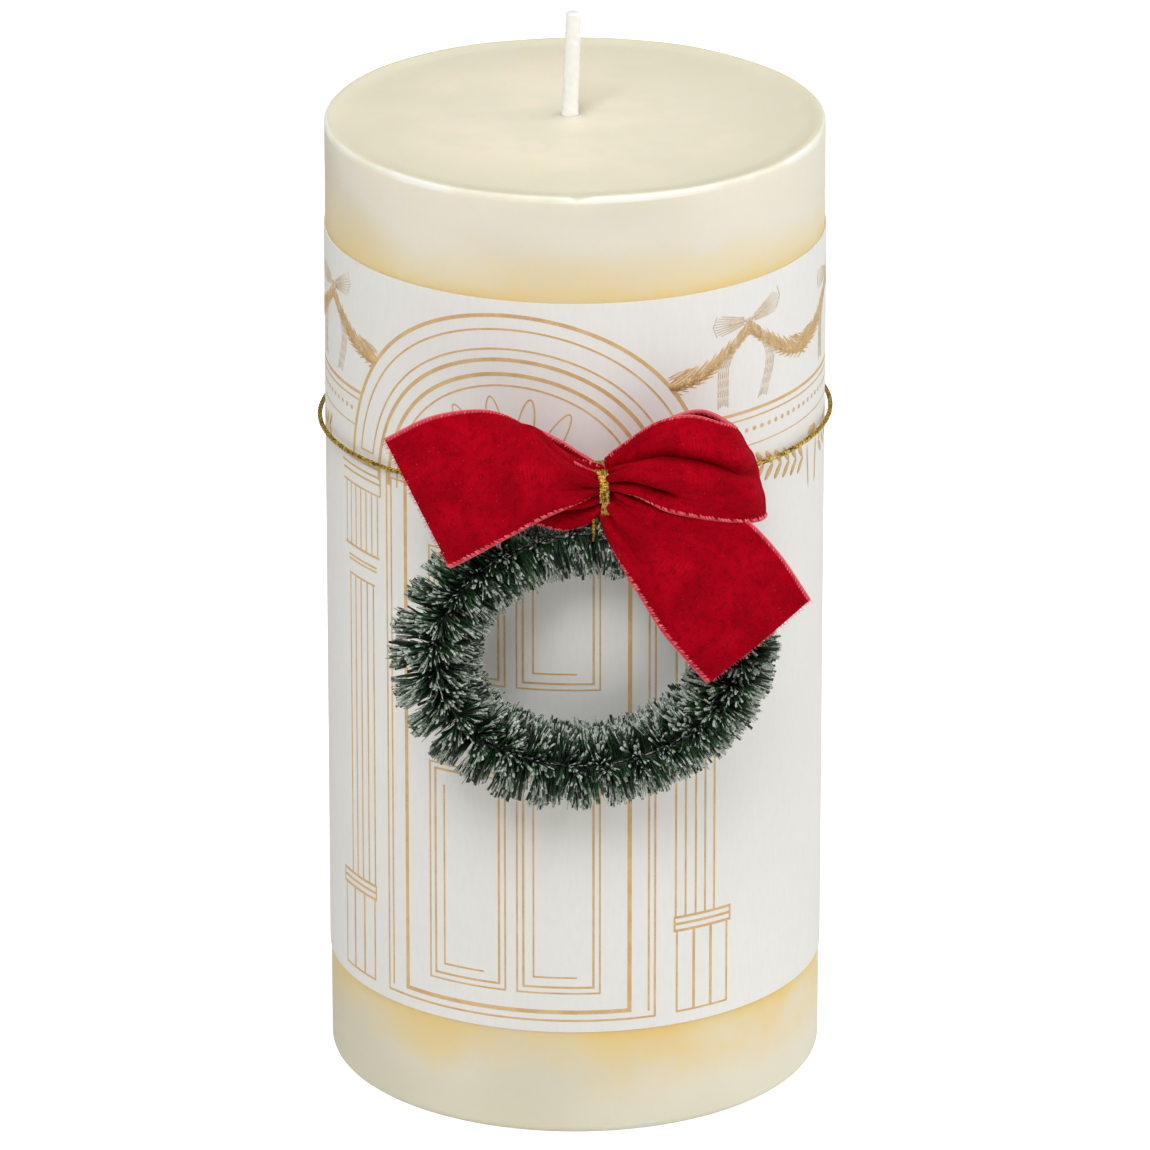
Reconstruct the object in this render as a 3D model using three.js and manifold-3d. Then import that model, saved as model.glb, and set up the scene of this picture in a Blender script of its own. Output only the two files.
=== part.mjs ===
// A pillar candle in a printed paper wrap, dressed with a small brush wreath that hangs from a velvet
// bow on a loop of gold cord.
//
// Millimetres, +Z up. The origin is the centre of the candle's base, on the surface it stands on, and
// the bow sits on the -Y side. An azimuth is counted from -Y towards +X.
import * as THREE from "three";
import { mergeVertices } from "three/addons/utils/BufferGeometryUtils.js";
import Module from "manifold-3d";

// ---------------------------------------------------------------- driving dimensions

const CANDLE = { radius: 38.1, height: 152.4, baseRound: 1.5, rimBevel: 0.6, facets: 120 };

const WICK = { radius: 1.2, x: -0.8, y: 0.1, above: 16.4, lean: 0.6, sides: 10, steps: 24 };
const WICK_GAP = 0.3;

const SUSTAINER = { radius: 10, sheet: 0.5, neckRadius: 2.1, neckHeight: 5, sides: 48 };

const WRAP = { bottom: 17.3, top: 135.7, paper: 0.1, glueGap: 0.1, lap: 8, lapGap: 0.05 };
const DOOR_AZIMUTH = -20.75; // middle of the printed door, in degrees; the wrap's seam is opposite

const CORD = { ringRadius: 39.15, radius: 0.45, height: 105.2, tiltX: -1.43, tiltY: -0.95 };

// The winding seen from the side: it is tall enough at the back for the tilted cord to pass anywhere.
const TIE = {
  x: -0.4,
  width: 2.2,
  back: 38.5,
  backWall: 0.14,
  front: 45.1,
  wall: 0.6,
  height: 108.4,
  bottom: 102.7,
  top: 109.1,
  bulge: 4,
  sag: 0.4,
  crown: 0.85,
};

const RIBBON = {
  thickness: 1.0,
  steps: 20,
  waist: { width: 5.4, depth: 1.95, height: 2.2, x: -0.3, y: -42.1, z: 107.8 },
};

const RING = { x: -2.8, y: -45.4, z: 83.1, halfWidth: 23.1, halfHeight: 18.7 };
const WIRE = { radius: 0.3, twistRadius: 0.36, twists: 14, stepsPerTwist: 8, sides: 6 };
const BRUSH = { radius: 6.8, bore: 1.0, startAngle: 40, endAngle: 336, sections: 48, sides: 12 };

const HANGER = { radius: 2.0, thread: 0.3, x: -2.1, y: -45.1, z: 102.8 };

// ---------------------------------------------------------------- materials

const finish = (color, roughness, metalness = 0) =>
  new THREE.MeshStandardMaterial({ color, roughness, metalness });

const IVORY_WAX = finish(0xe9e0c4, 0.45);
const WAXED_COTTON = finish(0xf1eee6, 0.6);
const TINPLATE = finish(0xb9bcc0, 0.35, 1);
const PRINTED_PAPER = finish(0xe9e8e4, 0.7);
const GOLD_CORD = finish(0xb08d35, 0.35, 0.9);
const RED_VELVET = finish(0xa3061e, 0.85);
const GALVANISED_WIRE = finish(0x8c9298, 0.4, 1);
const FROSTED_GREEN = finish(0x23482f, 0.8);

// ---------------------------------------------------------------- small tools

const wasm = await Module();
wasm.setup();

const degrees = THREE.MathUtils.degToRad;

/** A closed three.js geometry as a manifold-3d solid. */
function solid(geometry) {
  const bare = geometry.clone();
  bare.deleteAttribute("normal");
  bare.deleteAttribute("uv");
  const merged = mergeVertices(bare);
  return new wasm.Manifold(
    new wasm.Mesh({
      numProp: 3,
      vertProperties: merged.attributes.position.array,
      triVerts: new Uint32Array(merged.index.array),
    }),
  );
}

/** A manifold-3d solid as a three.js geometry. */
function geometryOf(manifold) {
  const mesh = manifold.getMesh();
  const geometry = new THREE.BufferGeometry();
  geometry.setAttribute("position", new THREE.BufferAttribute(new Float32Array(mesh.vertProperties), 3));
  geometry.setIndex([...mesh.triVerts]);
  geometry.computeVertexNormals();
  return geometry;
}

/** A body of revolution about Z, from [radius, height] pairs that run up its outside. */
function turned(profile, segments) {
  const points = profile.map(([r, z]) => new THREE.Vector2(r, z));
  return new THREE.LatheGeometry(points, segments).rotateX(Math.PI / 2);
}

/**
 * A skin through rings of points, every ring with the same number. An open row of rings gets a flat
 * cap at each end; a closed one joins its last ring to its first.
 */
function loft(rings, closed = false) {
  const size = rings[0].length;
  const positions = rings.flat().flatMap((p) => [p.x, p.y, p.z]);
  const index = [];
  const last = closed ? rings.length : rings.length - 1;
  for (let i = 0; i < last; i++) {
    const here = i * size;
    const next = ((i + 1) % rings.length) * size;
    for (let j = 0; j < size; j++) {
      const k = (j + 1) % size;
      index.push(here + j, here + k, next + k, here + j, next + k, next + j);
    }
  }
  if (!closed) {
    const end = (rings.length - 1) * size;
    for (let j = 1; j < size - 1; j++) {
      index.push(0, j + 1, j, end, end + j, end + j + 1);
    }
  }
  const geometry = new THREE.BufferGeometry();
  geometry.setAttribute("position", new THREE.Float32BufferAttribute(positions, 3));
  geometry.setIndex(index);
  geometry.computeVertexNormals();
  return geometry;
}

function part(name, geometry, material) {
  const mesh = new THREE.Mesh(geometry, material);
  mesh.name = name;
  return mesh;
}

// ---------------------------------------------------------------- candle

/** The poured pillar: a rounded foot, a crisp rim, and the bore that the wick and its tab sit in. */
function waxPillar() {
  const { radius, height, baseRound, rimBevel, facets } = CANDLE;
  const foot = [0, 30, 60, 90].map((a) => [
    radius - baseRound + baseRound * Math.sin(degrees(a)),
    baseRound - baseRound * Math.cos(degrees(a)),
  ]);
  const body = turned(
    [[0, 0], ...foot, [radius, height - rimBevel], [radius - rimBevel, height], [0, height]],
    facets,
  );
  const tab = SUSTAINER;
  const bore = turned(
    [
      [0, -1],
      [tab.radius + WICK_GAP, -1],
      [tab.radius + WICK_GAP, tab.sheet + WICK_GAP],
      [tab.neckRadius + WICK_GAP, tab.sheet + WICK_GAP],
      [tab.neckRadius + WICK_GAP, tab.neckHeight + WICK_GAP],
      [WICK.radius + WICK_GAP, tab.neckHeight + WICK_GAP],
      [WICK.radius + WICK_GAP, height + 1],
      [0, height + 1],
    ],
    tab.sides,
  ).translate(WICK.x, WICK.y, 0);
  return geometryOf(solid(body).subtract(solid(bore)));
}

/** The tinned tab under the candle: a disc with a crimped neck that holds the wick's foot. */
function wickSustainer() {
  const { radius, sheet, neckRadius, neckHeight, sides } = SUSTAINER;
  const bore = WICK.radius + WICK_GAP;
  const profile = [
    [0, 0],
    [radius, 0],
    [radius, sheet],
    [neckRadius, sheet],
    [neckRadius, neckHeight],
    [bore, neckHeight],
    [bore, sheet],
    [0, sheet],
  ];
  return turned(profile, sides).translate(WICK.x, WICK.y, 0);
}

/** The wick, straight inside the wax and leaning a little where it stands above it. */
function wick() {
  const { radius, x, y, above, lean, sides, steps } = WICK;
  const top = CANDLE.height;
  const route = new THREE.CatmullRomCurve3([
    new THREE.Vector3(x, y, SUSTAINER.sheet + WICK_GAP),
    new THREE.Vector3(x, y, top / 2),
    new THREE.Vector3(x, y, top - 2),
    new THREE.Vector3(x + lean * 0.3, y, top + above * 0.5),
    new THREE.Vector3(x + lean, y, top + above),
  ]);
  const section = new THREE.Shape().absarc(0, 0, radius, 0, 2 * Math.PI);
  return new THREE.ExtrudeGeometry(section, {
    steps,
    curveSegments: sides,
    extrudePath: route,
    bevelEnabled: false,
  });
}

/** The printed paper strip, rolled once round the wax and lapped over its own start at the back. */
function paperWrap() {
  const { bottom, top, paper, glueGap, lap, lapGap } = WRAP;
  const inner = CANDLE.radius + glueGap;
  const step = 360 / CANDLE.facets;
  const lapSteps = Math.round(lap / inner / degrees(step));
  const rampSteps = 2;
  const count = CANDLE.facets + lapSteps;
  const start = 90 + DOOR_AZIMUTH - (lapSteps * step) / 2;
  const edge = (i, outwards) => {
    const climb = THREE.MathUtils.clamp((i - CANDLE.facets + 1 + rampSteps) / rampSteps, 0, 1);
    const r = inner + climb * (paper + lapGap) + outwards * paper;
    const a = degrees(start + i * step);
    return new THREE.Vector2(r * Math.cos(a), r * Math.sin(a));
  };
  const steps = [...Array(count + 1).keys()];
  const outline = steps.map((i) => edge(i, 1)).concat(steps.map((i) => edge(i, 0)).reverse());
  const strip = new THREE.ExtrudeGeometry(new THREE.Shape(outline), {
    depth: top - bottom,
    bevelEnabled: false,
  });
  return strip.translate(0, 0, bottom);
}

// ---------------------------------------------------------------- cord and bow

/** The closed loop of gold cord round the candle, with the small tilt it hangs at. */
function goldCordLoop() {
  const ring = new THREE.TorusGeometry(CORD.ringRadius, CORD.radius, 8, 96);
  return ring.rotateX(degrees(CORD.tiltX)).rotateY(degrees(CORD.tiltY)).translate(0, 0, CORD.height);
}

/** Traces the winding's side view, outwards and up: upright at the back and round towards the front. */
function tieOutline(path, back, front, bottom, top, bulge) {
  path.moveTo(back, bottom);
  path.bezierCurveTo(back + bulge, bottom - TIE.sag, front, TIE.height - bulge, front, TIE.height);
  path.bezierCurveTo(front, TIE.height + bulge, back + TIE.sag * 4, top + TIE.crown * bulge, back, top);
  path.closePath();
  return path;
}

/** The gold winding that gathers the ribbon: a band whose thin back passes behind the cord loop. */
function tieWraps() {
  const { x, width, back, backWall, front, wall, bottom, top, bulge } = TIE;
  const band = tieOutline(new THREE.Shape(), back, front, bottom, top, bulge);
  band.holes.push(
    tieOutline(new THREE.Path(), back + backWall, front - wall, bottom + wall, top - wall, bulge - wall),
  );
  const outwards = new THREE.Vector3(0, -1, 0);
  const up = new THREE.Vector3(0, 0, 1);
  const along = new THREE.Vector3().crossVectors(outwards, up);
  const turn = new THREE.Matrix4().makeBasis(outwards, up, along);
  return new THREE.ExtrudeGeometry(band, { depth: width, curveSegments: 10, bevelEnabled: false })
    .applyMatrix4(turn)
    .translate(x + width / 2, 0, 0);
}

/** A stretch of ribbon between the curves of its two edges. */
function ribbonStretch(edgeA, edgeB) {
  const [a, b] = [edgeA, edgeB].map(
    (points) => new THREE.CatmullRomCurve3(points.map((p) => new THREE.Vector3(...p)), false, "centripetal"),
  );
  const half = RIBBON.thickness / 2;
  const rings = [];
  for (let i = 0; i <= RIBBON.steps; i++) {
    const t = i / RIBBON.steps;
    const pa = a.getPoint(t);
    const pb = b.getPoint(t);
    const along = a.getTangent(t).add(b.getTangent(t));
    const face = along.cross(pb.clone().sub(pa)).normalize().multiplyScalar(half);
    rings.push([pa.clone().sub(face), pb.clone().sub(face), pb.clone().add(face), pa.clone().add(face)]);
  }
  return solid(loft(rings));
}

/** One length of velvet ribbon: the gathered middle, a loop to each side and the two tails. */
function velvetRibbon() {
  const { width, depth, height, x, y, z } = RIBBON.waist;
  const middle = new THREE.CylinderGeometry(1, 1, width, 20)
    .rotateZ(Math.PI / 2)
    .scale(1, depth, height)
    .translate(x, y, z);
  const loopRight = ribbonStretch(
    [[1.2, -41.6, 109.6], [8, -43, 118], [16, -43.4, 119.6], [22.3, -46.6, 114.5], [17, -50.6, 118.2],
      [9, -49.6, 117], [1.2, -43.4, 109.4]],
    [[1.2, -41.4, 106.8], [8, -43, 107.5], [17, -43.4, 106.5], [23.6, -47, 105.5], [15, -51, 106.6],
      [8, -49.6, 108], [1.2, -43.2, 107]],
  );
  const loopLeft = ribbonStretch(
    [[-2, -41.6, 109.6], [-8, -42.6, 116], [-15, -43, 117.5], [-21, -45, 114], [-15, -47, 116.4],
      [-8, -46.6, 114], [-2, -43, 109.4]],
    [[-2, -41.4, 106.8], [-8, -42.6, 106], [-15, -43, 109], [-22, -45.2, 110], [-15, -47.2, 108.6],
      [-8, -46.8, 105], [-2, -43, 107]],
  );
  const tailLeft = ribbonStretch(
    [[-2, -43.2, 109.6], [-6, -46.5, 115.8], [-13, -48.4, 121.6], [-22, -49, 123], [-33.5, -49, 119.4]],
    [[-2, -43.4, 107], [-5.5, -47.8, 107.6], [-10, -50.3, 106.6], [-16.7, -52, 104], [-24.3, -53, 100.3]],
  );
  const tailRight = ribbonStretch(
    [[1.2, -42, 109], [9, -47.6, 109.2], [17, -52.4, 107.4], [23, -53.4, 103.6], [29.5, -54, 93.3]],
    [[1.2, -43.4, 106.6], [2.8, -48.6, 102], [4.6, -52.2, 96.5], [8.6, -54, 88.5], [14.3, -54.2, 80.7]],
  );
  const stretches = [loopRight, loopLeft, tailLeft, tailRight];
  return geometryOf(stretches.reduce((whole, piece) => whole.add(piece), solid(middle)));
}

// ---------------------------------------------------------------- wreath

/** A point of the wreath's oval centre line; the angle is counted from its top towards +X. */
function ringPoint(angle) {
  return new THREE.Vector3(
    RING.x + RING.halfWidth * Math.sin(angle),
    RING.y,
    RING.z + RING.halfHeight * Math.cos(angle),
  );
}

/** The unit vector in the wreath's plane, square to its centre line and pointing out of the ring. */
function ringOutwards(angle) {
  const across = new THREE.Vector3(RING.halfHeight * Math.sin(angle), 0, RING.halfWidth * Math.cos(angle));
  return across.normalize();
}

/** One of the two core wires: it runs round the oval and winds about its centre line, to its start. */
class TwistedStrand extends THREE.Curve {
  constructor(phase) {
    super();
    this.phase = phase;
  }

  getPoint(t, target = new THREE.Vector3()) {
    const angle = 2 * Math.PI * t;
    const twist = WIRE.twists * angle + this.phase;
    const sideways = new THREE.Vector3(0, -1, 0).multiplyScalar(Math.sin(twist));
    const offset = ringOutwards(angle).multiplyScalar(Math.cos(twist)).add(sideways);
    return target.copy(ringPoint(angle)).addScaledVector(offset, WIRE.twistRadius);
  }
}

/** A core wire as a closed tube: both of its ends meet, so it has no open end to cap. */
function coreWire(phase) {
  const steps = WIRE.twists * WIRE.stepsPerTwist;
  return new THREE.TubeGeometry(new TwistedStrand(phase), steps, WIRE.radius, WIRE.sides, true);
}

/** The brush of bristles as a thick pipe round the wires, open at the top where the bow presses on it. */
function wreathBrush() {
  const { radius, bore, startAngle, endAngle, sections, sides } = BRUSH;
  const circle = (i, r) => {
    const angle = degrees(THREE.MathUtils.lerp(startAngle, endAngle, i / sections));
    const centre = ringPoint(angle);
    const outwards = ringOutwards(angle);
    return [...Array(sides).keys()].map((j) => {
      const turn = (2 * Math.PI * j) / sides;
      const offset = outwards.clone().multiplyScalar(Math.cos(turn));
      offset.y = -Math.sin(turn);
      return centre.clone().addScaledVector(offset, r);
    });
  };
  const steps = [...Array(sections + 1).keys()];
  const outside = steps.map((i) => circle(i, radius));
  const inside = steps.map((i) => circle(i, bore)).reverse();
  return loft([...outside, ...inside], true);
}

/** The small loop of gold thread that the wreath's wires hang in, just under the tie. */
function wreathHanger() {
  const loop = new THREE.TorusGeometry(HANGER.radius, HANGER.thread, 6, 20);
  return loop.rotateY(Math.PI / 2).translate(HANGER.x, HANGER.y, HANGER.z);
}

// ---------------------------------------------------------------- assembly

const candle = new THREE.Group();
candle.add(
  part("wax_pillar", waxPillar(), IVORY_WAX),
  part("wick", wick(), WAXED_COTTON),
  part("wick_sustainer", wickSustainer(), TINPLATE),
  part("paper_wrap", paperWrap(), PRINTED_PAPER),
);

const bow = new THREE.Group();
bow.add(part("tie_wraps", tieWraps(), GOLD_CORD), part("velvet_ribbon", velvetRibbon(), RED_VELVET));

const wreath = new THREE.Group();
wreath.add(
  part("wreath_hanger", wreathHanger(), GOLD_CORD),
  part("wreath_wire_a", coreWire(0), GALVANISED_WIRE),
  part("wreath_wire_b", coreWire(Math.PI), GALVANISED_WIRE),
  part("wreath_brush", wreathBrush(), FROSTED_GREEN),
);

const unityCandle = new THREE.Group();
unityCandle.add(candle, part("gold_cord_loop", goldCordLoop(), GOLD_CORD), bow, wreath);

export default unityCandle;
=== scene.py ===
"""The looks of a wedding pillar candle with a printed wrap, a gold cord, a velvet bow and a brush wreath.

Metres, +Z up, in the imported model's frame. The bow sits on the -Y side, and an azimuth is counted from -Y
towards +X. Sizes of single pieces are fields of their class; places come from the frame's own boxes.
"""

import logging
import math
from collections.abc import Callable, Iterator, Sequence
from contextlib import contextmanager
from dataclasses import dataclass, field
from enum import Enum
from typing import Any

import bmesh
import bpy
import numpy as np
from mathutils import Matrix, Vector


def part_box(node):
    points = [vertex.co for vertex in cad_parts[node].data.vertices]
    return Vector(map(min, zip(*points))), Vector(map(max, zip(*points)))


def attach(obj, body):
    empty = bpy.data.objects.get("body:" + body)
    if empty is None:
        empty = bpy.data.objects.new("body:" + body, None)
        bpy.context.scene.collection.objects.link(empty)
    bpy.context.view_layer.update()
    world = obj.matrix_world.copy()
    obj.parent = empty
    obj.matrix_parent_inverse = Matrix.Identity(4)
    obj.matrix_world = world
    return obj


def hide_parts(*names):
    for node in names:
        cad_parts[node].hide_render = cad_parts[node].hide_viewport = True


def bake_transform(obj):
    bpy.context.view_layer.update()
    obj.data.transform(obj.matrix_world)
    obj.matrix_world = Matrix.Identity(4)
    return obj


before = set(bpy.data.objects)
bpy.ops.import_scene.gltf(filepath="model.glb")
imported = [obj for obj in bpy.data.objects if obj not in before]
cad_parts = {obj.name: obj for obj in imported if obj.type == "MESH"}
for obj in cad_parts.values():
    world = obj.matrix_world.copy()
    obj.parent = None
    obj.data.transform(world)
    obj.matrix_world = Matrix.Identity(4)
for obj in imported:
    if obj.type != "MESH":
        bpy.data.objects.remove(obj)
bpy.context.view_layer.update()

LOG = logging.getLogger("unity_candle")
MM = 0.001
Colour = tuple[float, float, float, float]
Point = tuple[float, float, float]


# ---------------------------------------------------------------- shader tools


def shade(red: float, green: float, blue: float) -> Colour:
    """Turns a screen colour into the linear one that a shader takes.

    Args:
        red: Red, from 0 to 255.
        green: Green, from 0 to 255.
        blue: Blue, from 0 to 255.

    Returns:
        The linear colour, with full alpha.
    """
    linear = [((c / 255 + 0.055) / 1.055) ** 2.4 if c > 10.3 else c / 255 / 12.92 for c in (red, green, blue)]
    return (linear[0], linear[1], linear[2], 1.0)


class Wire:
    """A socket's value in an expression: each operator adds its Math node."""

    def __init__(self, graph: "Graph", socket: bpy.types.NodeSocket) -> None:
        """Wraps an output socket of a graph."""
        self.graph = graph
        self.socket = socket

    def __add__(self, other: "Wire | float") -> "Wire":
        """Self plus other."""
        return self.graph.math("ADD", self, other)

    __radd__ = __add__

    def __sub__(self, other: "Wire | float") -> "Wire":
        """Self minus other."""
        return self.graph.math("SUBTRACT", self, other)

    def __rsub__(self, other: "Wire | float") -> "Wire":
        """Other minus self."""
        return self.graph.math("SUBTRACT", other, self)

    def __mul__(self, other: "Wire | float") -> "Wire":
        """Self times other."""
        return self.graph.math("MULTIPLY", self, other)

    __rmul__ = __mul__

    def __truediv__(self, other: "Wire | float") -> "Wire":
        """Self over other."""
        return self.graph.math("DIVIDE", self, other)

    def ramp(self, low: float, high: float) -> "Wire":
        """A smooth climb from 0 where self is low to 1 where it is high."""
        settings = {"interpolation_type": "SMOOTHSTEP"}
        inputs = {"Value": self, "From Min": low, "From Max": high, "To Min": 0.0, "To Max": 1.0}
        return self.graph.node("ShaderNodeMapRange", settings, inputs)


class Graph:
    """The nodes of one material, round one Principled shader."""

    def __init__(self, name: str, **constants: Any) -> None:
        """Starts a material.

        Args:
            name: The material's name.
            **constants: Constant shader sockets, named in lower case with underscores for spaces.
        """
        self.material = bpy.data.materials.new(name)
        self.material.use_nodes = True
        self.tree = self.material.node_tree
        self.tree.nodes.clear()
        self.shader = self.tree.nodes.new("ShaderNodeBsdfPrincipled")
        output = self.tree.nodes.new("ShaderNodeOutputMaterial")
        self.tree.links.new(self.shader.outputs[0], output.inputs[0])
        titles = {socket.name.lower().replace(" ", "_"): socket for socket in self.shader.inputs}
        for key, value in constants.items():
            titles[key].default_value = value

    def node(self, kind: str, settings: dict[str, Any], inputs: dict[Any, Any], out: Any = 0) -> Wire:
        """Adds a node of any type.

        Args:
            kind: The node's type.
            settings: Its properties; "stops" fills a colour ramp with (place, colour) pairs.
            inputs: Values or wires for its sockets, by name or index.
            out: The name or index of the output to hand back.

        Returns:
            A wire on the output.
        """
        made = self.tree.nodes.new(kind)
        for key, value in settings.items():
            if key == "stops":
                for index, (place, colour) in enumerate(value):
                    ends = made.color_ramp.elements
                    stop = ends[index] if index < 2 else ends.new(place)
                    stop.position = place
                    stop.color = colour
            else:
                setattr(made, key, value)
        for key, value in inputs.items():
            self.feed(made.inputs[key], value)
        return Wire(self, made.outputs[out])

    def feed(self, socket: bpy.types.NodeSocket, value: Any) -> None:
        """Gives a socket a wire or a constant."""
        if isinstance(value, Wire):
            self.tree.links.new(value.socket, socket)
        else:
            socket.default_value = value

    def math(self, operation: str, *values: "Wire | float") -> Wire:
        """Adds a Math node."""
        return self.node("ShaderNodeMath", {"operation": operation}, dict(enumerate(values)))

    def mix(self, amount: "Wire | float", first: Any, second: Any, blend: str = "MIX") -> Wire:
        """Mixes two colours by an amount from 0 to 1."""
        settings = {"data_type": "RGBA", "blend_type": blend}
        return self.node("ShaderNodeMix", settings, {0: amount, 6: first, 7: second}, 2)

    def place(self, stretch: Point = (1.0, 1.0, 1.0), turn: Point = (0.0, 0.0, 0.0)) -> Wire:
        """The piece's own coordinates in metres, stretched and turned."""
        spot = self.node("ShaderNodeTexCoord", {}, {}, "Object")
        return self.node("ShaderNodeMapping", {}, {"Vector": spot, "Rotation": turn, "Scale": stretch})

    def axes(self, vector: Wire) -> tuple[Wire, Wire, Wire]:
        """Splits a vector into its three parts."""
        split = self.tree.nodes.new("ShaderNodeSeparateXYZ")
        self.feed(split.inputs[0], vector)
        return Wire(self, split.outputs[0]), Wire(self, split.outputs[1]), Wire(self, split.outputs[2])

    def noise(self, vector: Wire, scale: float, detail: float = 2.0, roughness: float = 0.5) -> Wire:
        """Soft noise about 0.5, with a scale in cycles per unit."""
        inputs = {"Vector": vector, "Scale": scale, "Detail": detail, "Roughness": roughness}
        return self.node("ShaderNodeTexNoise", {}, inputs)

    def attribute(self, name: str) -> Wire:
        """A number stored on the mesh."""
        return self.node("ShaderNodeAttribute", {"attribute_name": name}, {}, "Fac")

    def finish(
        self, colour: Any, roughness: Any, bumps: Sequence[tuple[Any, float, float]] = ()
    ) -> bpy.types.Material:
        """Feeds the shader and hands the material over.

        Args:
            colour: The base colour.
            roughness: The roughness.
            bumps: (height, depth in metres, strength) of each bump, the first one on the inside.

        Returns:
            The finished material.
        """
        self.feed(self.shader.inputs["Base Color"], colour)
        self.feed(self.shader.inputs["Roughness"], roughness)
        normal = None
        for height, depth, strength in bumps:
            inputs = {"Height": height, "Distance": depth, "Strength": strength}
            if normal is not None:
                inputs["Normal"] = normal
            normal = self.node("ShaderNodeBump", {}, inputs)
        if normal is not None:
            self.feed(self.shader.inputs["Normal"], normal)
        return self.material


# ---------------------------------------------------------------- finishes


@dataclass(frozen=True)
class IvoryWax:
    """Translucent poured wax: whitish on top with a painted highlight line along the rim's edge, warmer where
    it meets the wrap, mottled all over.
    """

    radius: float
    height: float
    wrap_bottom: float
    wrap_top: float

    def make(self) -> bpy.types.Material:
        """Builds the material."""
        g = Graph(
            "ivory_wax",
            subsurface_weight=0.45,
            subsurface_radius=(1.0, 0.75, 0.42),
            subsurface_scale=0.0035,
            ior=1.44,
            specular_ior_level=0.22,
        )
        place = g.place()
        x, y, z = g.axes(place)
        cloud = g.noise(place, 62.0, 3.0, 0.55)
        patch = g.noise(g.place((1.0, 1.0, 1.6)), 24.0, 2.0, 0.5)
        wander = (cloud - 0.5) * 0.016 + (patch - 0.5) * 0.014
        upper = z.ramp(0.07, 0.08)
        above = 1.0 - (z + wander).ramp(self.wrap_top - 0.001, self.wrap_top + 0.0115)
        below = (z + wander).ramp(self.wrap_bottom - 0.0125, self.wrap_bottom + 0.001)
        edge_above = 1.0 - (z + 0.3 * wander).ramp(self.wrap_top - 0.0005, self.wrap_top + 0.003)
        edge_below = (z + 0.3 * wander).ramp(self.wrap_bottom - 0.0025, self.wrap_bottom + 0.0005)
        on_side = 1.0 - z.ramp(self.height - 0.0012, self.height - 0.0007)
        warm = above * upper + below * (1.0 - upper)
        edge = edge_above * upper + edge_below * (1.0 - upper)
        side = g.mix(patch.ramp(0.36, 0.62), shade(224, 220, 202), shade(236, 232, 218))
        side = g.mix(warm * (0.5 + 0.5 * cloud.ramp(0.3, 0.62)), side, shade(238, 216, 162))
        side = g.mix(edge * (0.3 + 0.5 * patch.ramp(0.4, 0.6)), side, shade(242, 209, 130))
        side = g.mix((1.0 - z.ramp(0.0, 0.012)) * 0.55, side, shade(228, 225, 204))
        radial = g.math("SQRT", x * x + y * y) / self.radius
        top = g.mix(cloud.ramp(0.36, 0.64), shade(240, 234, 212), shade(250, 240, 216))
        outer = radial.ramp(0.42, 0.98) * (0.45 + 0.4 * patch.ramp(0.35, 0.65))
        top = g.mix(outer, top, shade(228, 225, 200))
        # painted highlight: a thin near-white line along the rim's rounded edge, where light catches it
        painted_rim_highlight = radial.ramp(0.984, 0.992) * (0.3 + 0.6 * cloud.ramp(0.4, 0.6))
        top = g.mix(painted_rim_highlight, top, shade(252, 251, 244))
        colour = g.mix(on_side, top, side)
        rough = 0.42 + 0.14 * g.noise(place, 320.0, 2.0)
        ripple = g.noise(g.place((1.0, 1.0, 0.45)), 210.0, 2.0, 0.45)
        dimple = g.noise(place, 1400.0, 2.0, 0.5)
        return g.finish(colour, rough, [(ripple, 0.00016, 0.5), (dimple, 0.00003, 0.35)])


@dataclass(frozen=True)
class WaxedCotton:
    """White cotton under a thin coat of wax, with the braid showing through."""

    def make(self) -> bpy.types.Material:
        """Builds the material."""
        g = Graph(
            "waxed_cotton",
            subsurface_weight=0.5,
            subsurface_radius=(1.0, 0.9, 0.8),
            subsurface_scale=0.0012,
        )
        place = g.place()
        blotch = g.noise(g.place((1.0, 1.0, 0.35)), 900.0, 3.0)
        colour = g.mix(blotch.ramp(0.3, 0.7), shade(248, 247, 243), shade(254, 254, 252))
        return g.finish(colour, 0.42 + 0.2 * blotch, [(g.noise(place, 2600.0, 2.0), 0.00005, 0.5)])


@dataclass(frozen=True)
class WrapPaper:
    """Smooth white paper with a faint fibre."""

    def make(self) -> bpy.types.Material:
        """Builds the material."""
        g = Graph("printed_paper", specular_ior_level=0.35, sheen_weight=0.08)
        fibre = g.noise(g.place((1.0, 1.0, 0.25)), 1500.0, 4.0, 0.6)
        cloud = g.noise(g.place(), 45.0, 2.0)
        colour = g.mix(cloud.ramp(0.3, 0.7), shade(237, 237, 234), shade(240, 240, 238))
        colour = g.mix(0.35 * fibre.ramp(0.35, 0.75), colour, shade(230, 230, 228))
        return g.finish(colour, 0.5 + 0.14 * fibre, [(fibre, 0.00002, 0.35)])


class InkTone(Enum):
    """The printed inks: name, darker tone and lighter tone."""

    GOLD = ("gold_ink", shade(208, 170, 112), shade(222, 188, 132))
    PALE = ("pale_ink", shade(216, 200, 176), shade(226, 213, 193))


@dataclass(frozen=True)
class PrintInk:
    """Flat matt printing ink, laid on a little unevenly."""

    tone: InkTone

    def make(self) -> bpy.types.Material:
        """Builds the material."""
        name, dark, light = self.tone.value
        g = Graph(name, specular_ior_level=0.4)
        lay = g.noise(g.place(), 260.0, 3.0, 0.6)
        grain = g.noise(g.place(), 5200.0, 1.0)
        colour = g.mix(lay.ramp(0.34, 0.66), dark, light)
        colour = g.mix(0.25 * grain.ramp(0.45, 0.75), colour, shade(236, 226, 208))
        return g.finish(colour, 0.46 + 0.1 * lay)


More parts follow.
